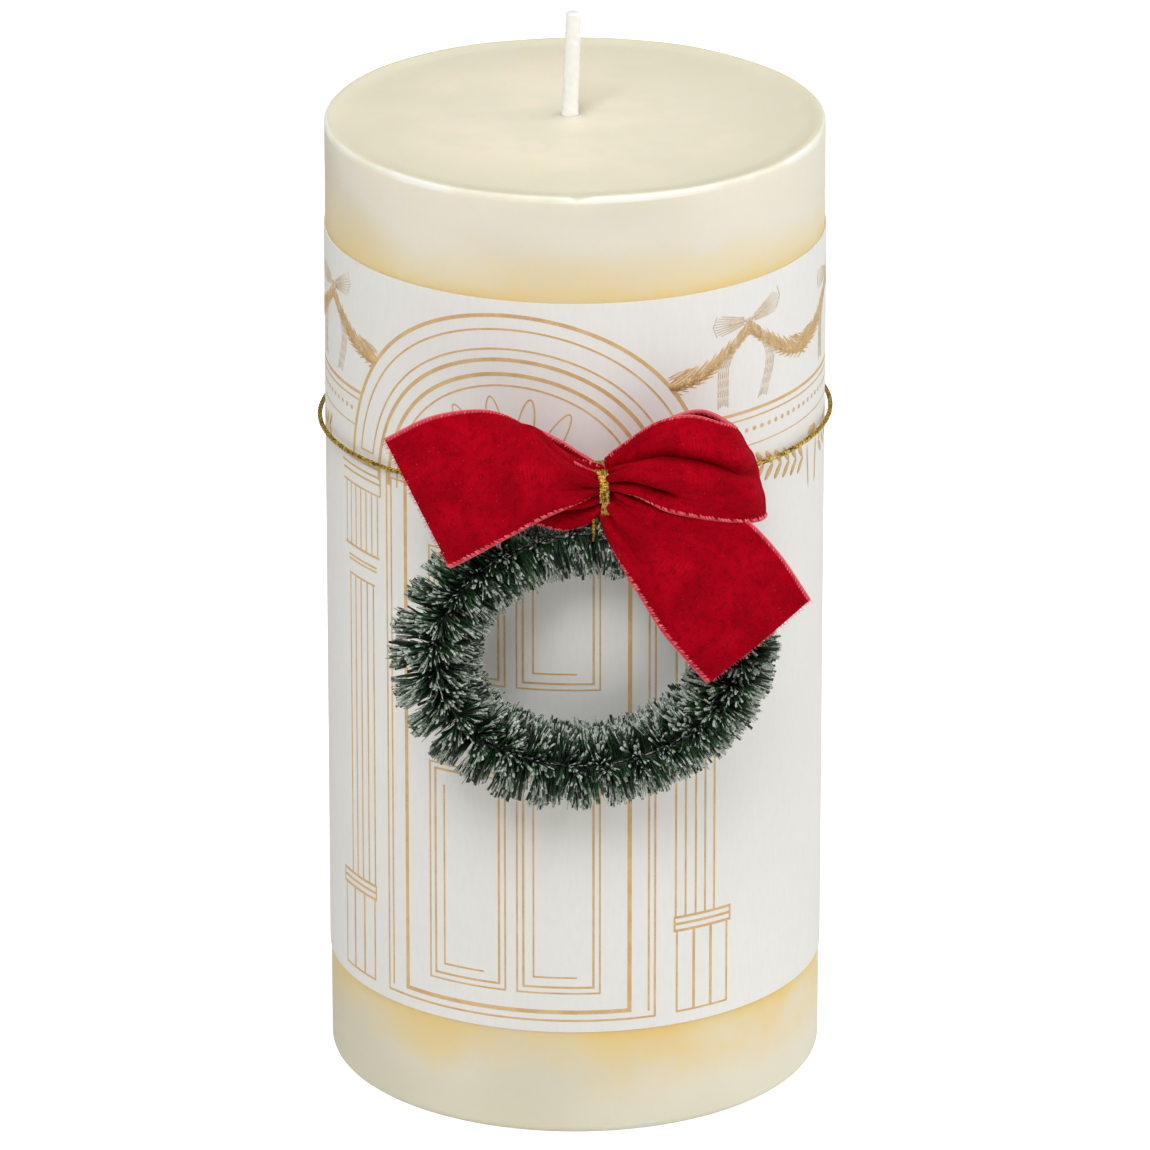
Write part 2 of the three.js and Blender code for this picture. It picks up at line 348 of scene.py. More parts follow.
@dataclass(frozen=True)
class GoldThread:
    """Metallised yarn: gold foil with painted dark olive shade in fine patches for the shade between its
    turns, and painted glints.
    """

    def make(self) -> bpy.types.Material:
        """Builds the material."""
        g = Graph("gold_thread", metallic=0.85, specular_ior_level=0.6)
        painted_shade_and_bump = g.noise(g.place(), 2300.0, 2.0, 0.7)
        drift = g.noise(g.place(), 500.0, 2.0)
        # painted shade: dark olive in fine patches, standing for the shade between the strands
        colour = g.mix(painted_shade_and_bump.ramp(0.38, 0.62), shade(92, 74, 22), shade(228, 188, 74))
        # painted highlight: pale gold glints in larger patches
        colour = g.mix(drift.ramp(0.5, 0.8) * 0.6, colour, shade(248, 232, 150))
        return g.finish(colour, 0.26 + 0.24 * drift, [(painted_shade_and_bump, 0.00012, 0.8)])


@dataclass(frozen=True)
class RedVelvet:
    """Short cut pile: deep red with a pale bloom at grazing angles, brushed lighter and darker in patches.

    The piece's UV map holds millimetres along the ribbon and across it.
    """

    def make(self) -> bpy.types.Material:
        """Builds the material."""
        g = Graph(
            "red_velvet",
            sheen_weight=0.22,
            sheen_roughness=0.3,
            sheen_tint=shade(255, 40, 64),
            specular_ior_level=0.04,
        )
        cloth = g.node("ShaderNodeTexCoord", {}, {}, "UV")
        along, _, _ = g.axes(cloth)
        combed = g.node("ShaderNodeMapping", {}, {"Vector": cloth, "Scale": (1.0, 0.8, 1.0)})
        brushed = g.noise(combed, 0.14, 2.0, 0.5)
        crush = g.noise(cloth, 0.75, 3.0, 0.65)
        speck = g.noise(cloth, 2.6, 3.0, 0.7)
        pile = g.noise(cloth, 7.5, 2.0, 0.7)
        rows = g.math("SINE", along * (2 * math.pi / 0.62) + 2.0 * speck)
        colour = g.mix(brushed.ramp(0.3, 0.72), shade(150, 0, 18), shade(184, 0, 27))
        colour = g.mix(0.55 * crush.ramp(0.42, 0.68), colour, shade(122, 0, 13))
        colour = g.mix(0.45 * speck.ramp(0.48, 0.75), colour, shade(205, 4, 36))
        colour = g.mix(0.1 * rows.ramp(0.55, 1.0) * brushed.ramp(0.5, 0.75), colour, shade(222, 60, 84))
        lint = g.noise(cloth, 5.0, 1.0, 0.5).ramp(0.75, 0.8)
        colour = g.mix(0.6 * lint, colour, shade(236, 130, 140))
        edge = g.attribute("selvedge").ramp(0.35, 0.75)
        colour = g.mix(edge * (0.35 + 0.5 * pile.ramp(0.35, 0.65)), colour, shade(222, 74, 92))
        rough = 0.78 + 0.2 * speck
        height = pile + 0.12 * rows
        bumps = [(brushed, 0.0006, 0.35), (crush, 0.0003, 0.4), (height, 0.00014, 0.6)]
        return g.finish(colour, rough, bumps)


@dataclass(frozen=True)
class EdgeYarn:
    """The pink-red yarn that binds the ribbon's edges and frays at its cut ends."""

    def make(self) -> bpy.types.Material:
        """Builds the material."""
        g = Graph("edge_yarn", sheen_weight=0.4, sheen_roughness=0.4, sheen_tint=shade(255, 190, 196))
        tone = g.attribute("tone")
        fibre = g.noise(g.place(), 2200.0, 2.0, 0.6)
        colour = g.mix(tone.ramp(0.0, 1.0), shade(200, 34, 56), shade(236, 108, 116))
        colour = g.mix(0.3 * fibre.ramp(0.45, 0.7), colour, shade(238, 132, 138))
        return g.finish(colour, 0.6 + 0.2 * fibre, [(fibre, 0.0001, 0.5)])


@dataclass(frozen=True)
class FrostedFilm:
    """Cut strips of dark green film, frosted white from the middle to the tips."""

    def make(self) -> bpy.types.Material:
        """Builds the material."""
        g = Graph("frosted_film", specular_ior_level=0.5, sheen_weight=0.05)
        tone = g.attribute("tone")
        along = g.attribute("along")
        grit = g.noise(g.place(), 2600.0, 2.0, 0.7)
        flake = g.noise(g.place(), 900.0, 2.0, 0.6)
        green = g.mix(tone.ramp(0.05, 0.95), shade(8, 28, 16), shade(52, 110, 56))
        reach = along + 0.55 * tone - 0.3 + 1.3 * (flake - 0.5)
        snow = reach.ramp(0.78, 0.98) * (0.45 + 0.55 * grit.ramp(0.42, 0.52))
        colour = g.mix(snow, green, shade(214, 222, 213))
        return g.finish(colour, 0.3 + 0.45 * snow, [(grit, 0.00012, 0.5)])


@dataclass(frozen=True)
class BareMetal:
    """Drawn or rolled metal with fine wear: the wreath's wire and the wick's tab."""

    name: str
    dark: Colour
    light: Colour

    def make(self) -> bpy.types.Material:
        """Builds the material."""
        g = Graph(self.name, metallic=1.0)
        smear = g.noise(g.place((1.0, 0.3, 1.0)), 800.0, 3.0)
        scratch = g.noise(g.place((6.0, 0.4, 1.0)), 900.0, 2.0)
        colour = g.mix(smear.ramp(0.3, 0.7), self.dark, self.light)
        return g.finish(colour, 0.28 + 0.3 * smear, [(scratch, 0.00004, 0.4)])


# ---------------------------------------------------------------- modelling tools


class Part(Enum):
    """What an edit-mode selection is made of."""

    VERTEX = "VERT"
    EDGE = "EDGE"
    FACE = "FACE"


def deselect() -> None:
    """Leaves object mode with nothing selected."""
    if bpy.context.object is not None and bpy.context.object.mode != "OBJECT":
        bpy.ops.object.mode_set(mode="OBJECT")
    bpy.ops.object.select_all(action="DESELECT")


def primitive(shape: str, name: str, **sizes: Any) -> bpy.types.Object:
    """Adds a mesh primitive as a new object.

    Args:
        shape: The primitive's name in bpy.ops.mesh, such as "cylinder".
        name: The piece's name.
        **sizes: The operator's own settings.

    Returns:
        The object, with its location applied.
    """
    deselect()
    getattr(bpy.ops.mesh, f"primitive_{shape}_add")(**sizes)
    made = bpy.context.object
    made.name = name
    made.data.name = name
    bpy.ops.object.transform_apply(location=True, rotation=True, scale=True)
    return made


@contextmanager
def editing(piece: bpy.types.Object) -> Iterator[None]:
    """Opens a piece in edit mode with nothing selected, and closes it again."""
    deselect()
    piece.select_set(True)
    bpy.context.view_layer.objects.active = piece
    bpy.ops.object.mode_set(mode="EDIT")
    bpy.ops.mesh.select_all(action="DESELECT")
    yield
    bpy.ops.object.mode_set(mode="OBJECT")
    piece.select_set(False)


def pick(piece: bpy.types.Object, part: Part, wanted: Callable[[Vector], bool]) -> None:
    """Selects the vertices, edges or faces whose middle passes a test, and nothing else.

    Args:
        piece: The piece in edit mode.
        part: What to select.
        wanted: Takes a middle point and says whether it is wanted.
    """
    bpy.ops.mesh.select_mode(type=part.value)
    bpy.ops.mesh.select_all(action="DESELECT")
    mesh = bmesh.from_edit_mesh(piece.data)
    if part is Part.VERTEX:
        for vertex in mesh.verts:
            vertex.select_set(wanted(vertex.co))
    elif part is Part.EDGE:
        for edge in mesh.edges:
            edge.select_set(wanted((edge.verts[0].co + edge.verts[1].co) / 2))
    else:
        for face in mesh.faces:
            face.select_set(wanted(face.calc_center_median()))
    mesh.select_flush_mode()
    bmesh.update_edit_mesh(piece.data)


def cut_through(place: Point, normal: Point, clear_outer: bool = False) -> None:
    """Cuts all of the mesh in edit mode along a plane, and drops what lies on its outer side if asked."""
    bpy.ops.mesh.select_all(action="SELECT")
    bpy.ops.mesh.bisect(plane_co=place, plane_no=normal, clear_outer=clear_outer)


def use_modifier(piece: bpy.types.Object, kind: str, **settings: Any) -> None:
    """Adds a modifier and applies it at once."""
    deselect()
    bpy.context.view_layer.objects.active = piece
    made = piece.modifiers.new(kind.lower(), kind)
    for key, value in settings.items():
        setattr(made, key, value)
    bpy.ops.object.modifier_apply(modifier=made.name)


def points_of(piece: bpy.types.Object) -> np.ndarray:
    """The vertices of a piece as an array of rows."""
    flat = np.empty(len(piece.data.vertices) * 3)
    piece.data.vertices.foreach_get("co", flat)
    return flat.reshape(-1, 3)


def place_points(piece: bpy.types.Object, points: np.ndarray) -> None:
    """Moves the vertices of a piece to new places."""
    piece.data.vertices.foreach_set("co", points.astype(np.float32).ravel())
    piece.data.update()


def mark(piece: bpy.types.Object, name: str, values: np.ndarray) -> None:
    """Stores a number on each vertex of a piece."""
    store = piece.data.attributes.new(name, "FLOAT", "POINT")
    store.data.foreach_set("value", values.astype(np.float32))


def smooth(piece: bpy.types.Object, degrees: float = 40.0) -> None:
    """Shades a piece smooth, except over sharp angles."""
    deselect()
    piece.select_set(True)
    bpy.context.view_layer.objects.active = piece
    bpy.ops.object.shade_smooth_by_angle(angle=math.radians(degrees))
    piece.select_set(False)


def joined(name: str, pieces: Sequence[bpy.types.Object]) -> bpy.types.Object:
    """Joins pieces into the first one and names it."""
    deselect()
    for piece in pieces:
        piece.select_set(True)
    bpy.context.view_layer.objects.active = pieces[0]
    if len(pieces) > 1:
        bpy.ops.object.join()
    pieces[0].name = name
    pieces[0].data.name = name
    pieces[0].select_set(False)
    return pieces[0]


def dress(piece: bpy.types.Object, material: bpy.types.Material) -> bpy.types.Object:
    """Gives a piece its material."""
    piece.data.materials.clear()
    piece.data.materials.append(material)
    return piece


def tube(
    name: str, routes: Sequence[np.ndarray], radius: float, closed: bool, sides: int = 1
) -> bpy.types.Object:
    """Makes round yarn or wire along routes of points.

    Args:
        name: The piece's name.
        routes: One array of points for each strand, in metres.
        radius: The yarn's radius.
        closed: Whether each strand joins its own start.
        sides: How finely the section is rounded.

    Returns:
        The mesh object.
    """
    deselect()
    curve = bpy.data.curves.new(name, "CURVE")
    curve.dimensions = "3D"
    curve.bevel_depth = radius
    curve.bevel_resolution = sides
    curve.use_fill_caps = not closed
    for route in routes:
        line = curve.splines.new("POLY")
        line.points.add(len(route) - 1)
        line.points.foreach_set("co", np.c_[route, np.ones(len(route))].ravel())
        line.use_cyclic_u = closed
    made = bpy.data.objects.new(name, curve)
    bpy.context.scene.collection.objects.link(made)
    made.select_set(True)
    bpy.context.view_layer.objects.active = made
    bpy.ops.object.convert(target="MESH")
    made = bpy.context.object
    made.name = name
    smooth(made, 75)
    return made


def twisted(path: np.ndarray, strands: int, offset: float, turns: float, closed: bool) -> list[np.ndarray]:
    """Winds strands round a path.

    Args:
        path: The points of the middle line.
        strands: How many strands lie side by side.
        offset: How far each strand's middle lies from the path.
        turns: How often each strand goes round the whole path.
        closed: Whether the path joins its own start.

    Returns:
        The route of each strand.
    """
    if closed:
        heading = np.roll(path, -1, 0) - np.roll(path, 1, 0)
    else:
        heading = np.gradient(path, axis=0)
    heading /= np.linalg.norm(heading, axis=1)[:, None]
    spread = path - path.mean(0)
    plane = np.linalg.svd(spread, full_matrices=False)[2][2]
    side = np.cross(heading, plane)
    side /= np.linalg.norm(side, axis=1)[:, None]
    up = np.cross(side, heading)
    share = np.arange(len(path)) / (len(path) if closed else len(path) - 1)
    routes = []
    for strand in range(strands):
        angle = 2 * math.pi * (turns * share + strand / strands)
        routes.append(path + offset * (np.cos(angle)[:, None] * side + np.sin(angle)[:, None] * up))
    return routes


def copies(name: str, model: bpy.types.Object, basis: np.ndarray, origin: np.ndarray) -> bpy.types.Object:
    """Repeats a small model many times as one mesh, and removes the model.

    Args:
        name: The new piece's name.
        model: The small model, about its own origin.
        basis: For each copy, a 3 by 3 array whose rows are where the model's X, Y and Z go.
        origin: For each copy, the place of the model's origin.

    Returns:
        The piece, with each copy's own number from 0 to 1 as "tone" and the model's Z as "along".
    """
    shape = points_of(model)
    count = len(origin)
    corners = np.concatenate([polygon.vertices[:] for polygon in model.data.polygons])
    sizes = np.array([len(polygon.vertices) for polygon in model.data.polygons])
    made_points = np.einsum("vi,nij->nvj", shape, basis) + origin[:, None, :]
    shift = (np.arange(count) * len(shape))[:, None]
    mesh = bpy.data.meshes.new(name)
    mesh.vertices.add(count * len(shape))
    mesh.vertices.foreach_set("co", made_points.astype(np.float32).ravel())
    mesh.loops.add(count * len(corners))
    mesh.loops.foreach_set("vertex_index", (corners[None, :] + shift).astype(np.int32).ravel())
    mesh.polygons.add(count * len(sizes))
    all_sizes = np.tile(sizes, count)
    starts = np.concatenate([[0], np.cumsum(all_sizes)[:-1]])
    mesh.polygons.foreach_set("loop_start", starts.astype(np.int32))
    mesh.polygons.foreach_set("loop_total", all_sizes.astype(np.int32))
    mesh.update(calc_edges=True)
    mesh.validate()
    made = bpy.data.objects.new(name, mesh)
    bpy.context.scene.collection.objects.link(made)
    own = np.random.default_rng(count).random(count)
    mark(made, "tone", np.repeat(own, len(shape)))
    mark(made, "along", np.tile(shape[:, 2], count))
    bpy.data.objects.remove(model)
    return made


def unit(vector: np.ndarray) -> np.ndarray:
    """A vector at length 1."""
    return vector / (np.linalg.norm(vector) + 1e-15)


def run_along(line: np.ndarray) -> np.ndarray:
    """How far each point of a line lies from its start, measured along it."""
    return np.concatenate([[0], np.cumsum(np.linalg.norm(np.diff(line, axis=0), axis=1))])


def smooth_rows(rows: np.ndarray, count: int) -> np.ndarray:
    """Draws a smooth line through rows of points.

    Args:
        rows: An array of rows, each with the same number of points.
        count: How many rows to hand back.

    Returns:
        The rows of the smooth surface, evenly spaced along it.
    """
    steps = np.linalg.norm(np.diff(rows, axis=0), axis=2).mean(1)
    at = np.concatenate([[0], np.cumsum(np.maximum(steps, 1e-9))])
    slope = np.gradient(rows, at, axis=0)
    want = np.linspace(0, at[-1], count)
    index = np.clip(np.searchsorted(at, want, side="right") - 1, 0, len(at) - 2)
    span = (at[index + 1] - at[index])[:, None, None]
    t = ((want - at[index]) / (at[index + 1] - at[index]))[:, None, None]
    start, end = rows[index], rows[index + 1]
    lean_in, lean_out = slope[index] * span, slope[index + 1] * span
    return (
        (2 * t**3 - 3 * t**2 + 1) * start
        + (t**3 - 2 * t**2 + t) * lean_in
        + (3 * t**2 - 2 * t**3) * end
        + (t**3 - t**2) * lean_out
    )


# ---------------------------------------------------------------- studio


@dataclass
class Studio:
    """The pale floor, the soft lights and the camera."""

    azimuth: float = -6.0
    elevation: float = 21.32
    distance: float = 1.5825
    lens: float = 320.8
    look_at: Point = (0.0, 0.0, 0.0775)

    def build(self) -> None:
        """Sets up everything that isn't the object."""
        self.camera()
        self.lights()
        self.floor()

    def spot(self, azimuth: float, elevation: float, distance: float) -> Vector:
        """A place that is seen from the look-at point at those angles."""
        turn, climb = math.radians(azimuth), math.radians(elevation)
        away = Vector((math.sin(turn) * math.cos(climb), -math.cos(turn) * math.cos(climb), math.sin(climb)))
        return Vector(self.look_at) + away * distance

    def aimed(self, thing: bpy.types.Object, azimuth: float, elevation: float, distance: float) -> None:
        """Puts a camera or light at its angles and turns it to the look-at point."""
        bpy.context.scene.collection.objects.link(thing)
        thing.location = self.spot(azimuth, elevation, distance)
        thing.rotation_euler = (Vector(self.look_at) - thing.location).to_track_quat("-Z", "Y").to_euler()

    def camera(self) -> None:
        """A long lens, a little above the candle and to its left."""
        made = bpy.data.cameras.new("camera")
        made.lens = self.lens
        made.clip_start = 0.05
        made.clip_end = 20.0
        thing = bpy.data.objects.new("camera", made)
        self.aimed(thing, self.azimuth, self.elevation, self.distance)
        bpy.context.scene.camera = thing

    def lights(self) -> None:
        """A white surround, a large key light at the right and a weak fill at the left."""
        scene = bpy.context.scene
        scene.view_settings.view_transform = "Standard"
        world = bpy.data.worlds.new("white_surround")
        scene.world = world
        world.use_nodes = True
        tree = world.node_tree
        tree.nodes.clear()
        seen = tree.nodes.new("ShaderNodeBackground")
        seen.inputs["Strength"].default_value = 1.0
        seen.inputs["Color"].default_value = (1.0, 1.0, 1.0, 1.0)
        glow = tree.nodes.new("ShaderNodeBackground")
        glow.inputs["Strength"].default_value = 0.3
        glow.inputs["Color"].default_value = (1.0, 0.965, 0.9, 1.0)
        path = tree.nodes.new("ShaderNodeLightPath")
        either = tree.nodes.new("ShaderNodeMixShader")
        output = tree.nodes.new("ShaderNodeOutputWorld")
        tree.links.new(path.outputs["Is Camera Ray"], either.inputs[0])
        tree.links.new(glow.outputs[0], either.inputs[1])
        tree.links.new(seen.outputs[0], either.inputs[2])
        tree.links.new(either.outputs[0], output.inputs[0])
        for name, azimuth, elevation, size, power in (
            ("key_light", -22.0, 44.0, 0.4, 4.2),
            ("top_light", -10.0, 78.0, 0.6, 2.6),
            ("right_light", 82.0, 15.0, 0.9, 4.9),
            ("left_light", -86.0, 15.0, 0.9, 0.25),
        ):
            lamp = bpy.data.lights.new(name, "AREA")
            lamp.shape = "SQUARE"
            lamp.size = size
            lamp.energy = power
            self.aimed(bpy.data.objects.new(name, lamp), azimuth, elevation, 1.0)

    def floor(self) -> None:
        """A wide white floor at the candle's foot."""
        floor = primitive("plane", "floor", size=6.0, location=(0.0, 0.0, 0.0))
        g = Graph("floor_white", specular_ior_level=0.0, emission_strength=1.0)
        seen = g.node("ShaderNodeLightPath", {}, {}, "Is Camera Ray")
        g.feed(g.shader.inputs["Emission Color"], g.mix(seen, shade(98, 94, 87), shade(255, 255, 255)))
        grain = g.noise(g.place(), 40.0, 2.0)
        floor.data.materials.append(g.finish(g.mix(grain, shade(226, 226, 225), shade(232, 232, 231)), 0.9))


# ---------------------------------------------------------------- candle


@dataclass
class PillarCandle:
    """The wax pillar with its rim and foot, the wick and the tab under it."""

    sides: int = 192
    rim: float = 0.55 * MM
    foot: float = 1.5 * MM
    lip: float = 0.7 * MM
    lip_drop: float = 0.22 * MM
    nick_azimuth: float = -5.2
    nick_size: float = 1.1 * MM
    wick_turns: float = 11.0
    wick_seat: float = 3.0 * MM
    body: str = "candle"

    def __post_init__(self) -> None:
        """Reads the candle's size from the frame."""
        low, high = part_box("wax_pillar")
        self.radius = (high.x - low.x) / 2
        self.height = high.z
        low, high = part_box("wick")
        self.wick_low, self.wick_high = low, high
        tab_low, tab_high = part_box("wick_sustainer")
        self.axis = (tab_low + tab_high) / 2
        self.tab_radius = (tab_high.x - tab_low.x) / 2
        self.tab_height = tab_high.z
        self.wrap_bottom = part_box("paper_wrap")[0].z
        self.wrap_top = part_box("paper_wrap")[1].z

    def build(self) -> list[bpy.types.Object]:
        """Models and dresses the candle.

        Returns:
            Its pieces.
        """
        wax = self.wax()
        finish = IvoryWax(self.radius, self.height, self.wrap_bottom, self.wrap_top)
        dress(wax, finish.make())
        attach(wax, self.body)
        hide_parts("wax_pillar")
        wick = self.wick()
        dress(wick, WaxedCotton().make())
        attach(wick, self.body)
        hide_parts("wick")
        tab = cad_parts["wick_sustainer"]
        dress(tab, BareMetal("tinplate", shade(150, 152, 156), shade(200, 202, 206)).make())
        return [wax, wick, tab]

    def wax(self) -> bpy.types.Object:
        """The pillar: a cylinder with a rounded foot, a raised lip, a wick seat and a recess for the tab."""
        radius, height = self.radius, self.height
        middle = Vector((0.0, 0.0, height / 2))
        wax = primitive(
            "cylinder", "wax_body", vertices=self.sides, radius=radius, depth=height, location=middle
        )
        with editing(wax):
            pick(wax, Part.EDGE, lambda p: p.z > height - MM)
            bpy.ops.mesh.bevel(offset=self.rim, segments=5, affect="EDGES")
            pick(wax, Part.EDGE, lambda p: p.z < MM / 2)
            bpy.ops.mesh.bevel(offset=self.foot, segments=6, affect="EDGES")
            for cut in (height - 1.2 * MM, height - 2.0 * MM):
                cut_through((0.0, 0.0, cut), (0.0, 0.0, 1.0))
            self.wax_top(wax)
            self.wax_foot(wax)
            bpy.ops.mesh.select_all(action="SELECT")
            bpy.ops.mesh.normals_make_consistent(inside=False)
        self.nick(wax)
        smooth(wax, 50)
        return wax

    def wax_top(self, wax: bpy.types.Object) -> None:
        """Works rings into the top face: the lip, the dished middle and the collar round the wick."""
        pick(wax, Part.FACE, lambda p: p.z > self.height - MM / 10 and math.hypot(p.x, p.y) < self.radius / 2)
        bpy.ops.mesh.inset(thickness=self.lip)
        bpy.ops.mesh.inset(thickness=self.lip * 0.6)
        bpy.ops.transform.translate(value=(0.0, 0.0, -self.lip_drop))
        for step in (2.5 * MM, 7.0 * MM, 9.0 * MM, 9.0 * MM):
            bpy.ops.mesh.inset(thickness=step)
            bpy.ops.transform.translate(value=(0.0, 0.0, -0.03 * MM))
        bpy.ops.transform.translate(value=(self.axis.x, self.axis.y, 0.0))
        wick_radius = (self.wick_high.x - self.wick_low.x) / 2 - 0.3 * MM
        left = self.radius - self.rim - self.lip * 1.6 - 27.5 * MM
        bpy.ops.mesh.inset(thickness=(left - wick_radius) * 0.7)
        bpy.ops.mesh.inset(thickness=(left - wick_radius) * 0.2)
        bpy.ops.transform.translate(value=(0.0, 0.0, 0.15 * MM))
        bpy.ops.mesh.inset(thickness=(left - wick_radius) * 0.07)
        bpy.ops.transform.translate(value=(0.0, 0.0, 0.35 * MM))
        bpy.ops.mesh.inset(thickness=(left - wick_radius) * 0.08)
        bpy.ops.transform.translate(value=(0.0, 0.0, -self.wick_seat))

    def wax_foot(self, wax: bpy.types.Object) -> None:
        """Cuts the recess that the tab sits in, into the underside."""
        pick(wax, Part.FACE, lambda p: p.z < MM / 10 and math.hypot(p.x, p.y) < self.radius / 2)
        gap = 0.3 * MM
        bpy.ops.mesh.inset(thickness=self.radius - self.foot - self.tab_radius - gap)
        bpy.ops.transform.translate(value=(self.axis.x, self.axis.y, 0.0))
        bpy.ops.mesh.inset(thickness=gap / 3)
        bpy.ops.transform.translate(value=(0.0, 0.0, 0.8 * MM))
        bpy.ops.mesh.inset(thickness=self.tab_radius - 2.4 * MM)
        bpy.ops.mesh.inset(thickness=gap / 3)
        bpy.ops.transform.translate(value=(0.0, 0.0, self.tab_height))

    def nick(self, wax: bpy.types.Object) -> None:
        """Presses a small chip into the rim at the front, and lets the lip wander a little."""
        points = points_of(wax)
        turn = np.arctan2(points[:, 0], -points[:, 1])
        reach = np.hypot(points[:, 0], points[:, 1])
        near_top = np.clip((points[:, 2] - self.height + 0.9 * MM) / (0.5 * MM), 0, 1)
        at_rim = near_top * (reach > self.radius - 2 * MM)
        off = (turn - math.radians(self.nick_azimuth)) * self.radius / self.nick_size
        points[:, 2] -= at_rim * 0.45 * MM * np.exp(-(off**2))
        points[:, 2] += at_rim * 0.05 * MM * (np.sin(5 * turn + 1) + np.sin(13 * turn) * 0.6)
        points[:, 0] *= 1 - at_rim * 0.010 * np.exp(-(off**2))
        points[:, 1] *= 1 - at_rim * 0.010 * np.exp(-(off**2))
        place_points(wax, points)

    def wick(self) -> bpy.types.Object:
        """The wick: a waxed tube from the tab to its trimmed tip, leaning a little above the wax."""
        radius = (self.wick_high.x - self.wick_low.x) / 2 - 0.3 * MM
        low, high = self.tab_height * 0.4, self.wick_high.z
        depth = high - low
        at = Vector((self.axis.x, self.axis.y, low + depth / 2))
        wick = primitive("cylinder", "wick_braid", vertices=20, radius=radius, depth=depth, location=at)
        with editing(wick):
            for cut in np.linspace(self.height - 4 * MM, high - 0.3 * MM, 60):
                cut_through((0.0, 0.0, cut), (0.0, 0.0, 1.0))
            pick(wick, Part.EDGE, lambda p: p.z > high - 0.01 * MM)
            bpy.ops.mesh.bevel(offset=0.3 * MM, segments=3, affect="EDGES")
        points = points_of(wick)
        above = np.clip((points[:, 2] - self.height) / (high - self.height), 0, 1)
        turn = np.arctan2(points[:, 1] - self.axis.y, points[:, 0] - self.axis.x)
        braid = np.cos(3 * turn + 2 * math.pi * self.wick_turns * above) * (above > 0) * 0.035
        step = 0.09 * np.exp(-((above - 0.02) / 0.06) ** 2) - 0.05 * np.clip((above - 0.72) / 0.02, 0, 1)
        out = 1 + braid + step
        points[:, 0] = self.axis.x + (points[:, 0] - self.axis.x) * out + 0.6 * MM * above
        points[:, 1] = self.axis.y + (points[:, 1] - self.axis.y) * out
        place_points(wick, points)
        smooth(wick, 50)
        return wick


# ---------------------------------------------------------------- paper wrap and its print


@dataclass
class WrapShape:
    """Where the rolled paper lies: a roll that starts and ends in a lap opposite the door."""

    door_azimuth: float = -20.75
    half_lap: float = 6.0
    ramp_start: float = 165.0
    ramp_end: float = 171.0
    lap_rise: float = 0.2 * MM

    def __post_init__(self) -> None:
        """Reads the wrap's height and radius from the frame."""
        low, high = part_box("paper_wrap")
        self.bottom, self.top = low.z, high.z
        self.radius = high.x

    def roll(self, piece: bpy.types.Object, lift: float) -> None:
        """Rolls a flat piece round the candle: its X goes round from the door's middle, and its Y goes up.

        Args:
            piece: The flat piece, in metres.
            lift: How far it lies outside the paper's outer face.
        """
        flat = points_of(piece)
        turn = np.degrees(flat[:, 0] / self.radius)
        climb = np.clip((turn - self.ramp_start) / (self.ramp_end - self.ramp_start), 0, 1)
        radius = self.radius + climb * self.lap_rise + lift + flat[:, 2]
        azimuth = np.radians(turn + self.door_azimuth)
        place_points(piece, np.c_[radius * np.sin(azimuth), -radius * np.cos(azimuth), flat[:, 1]])


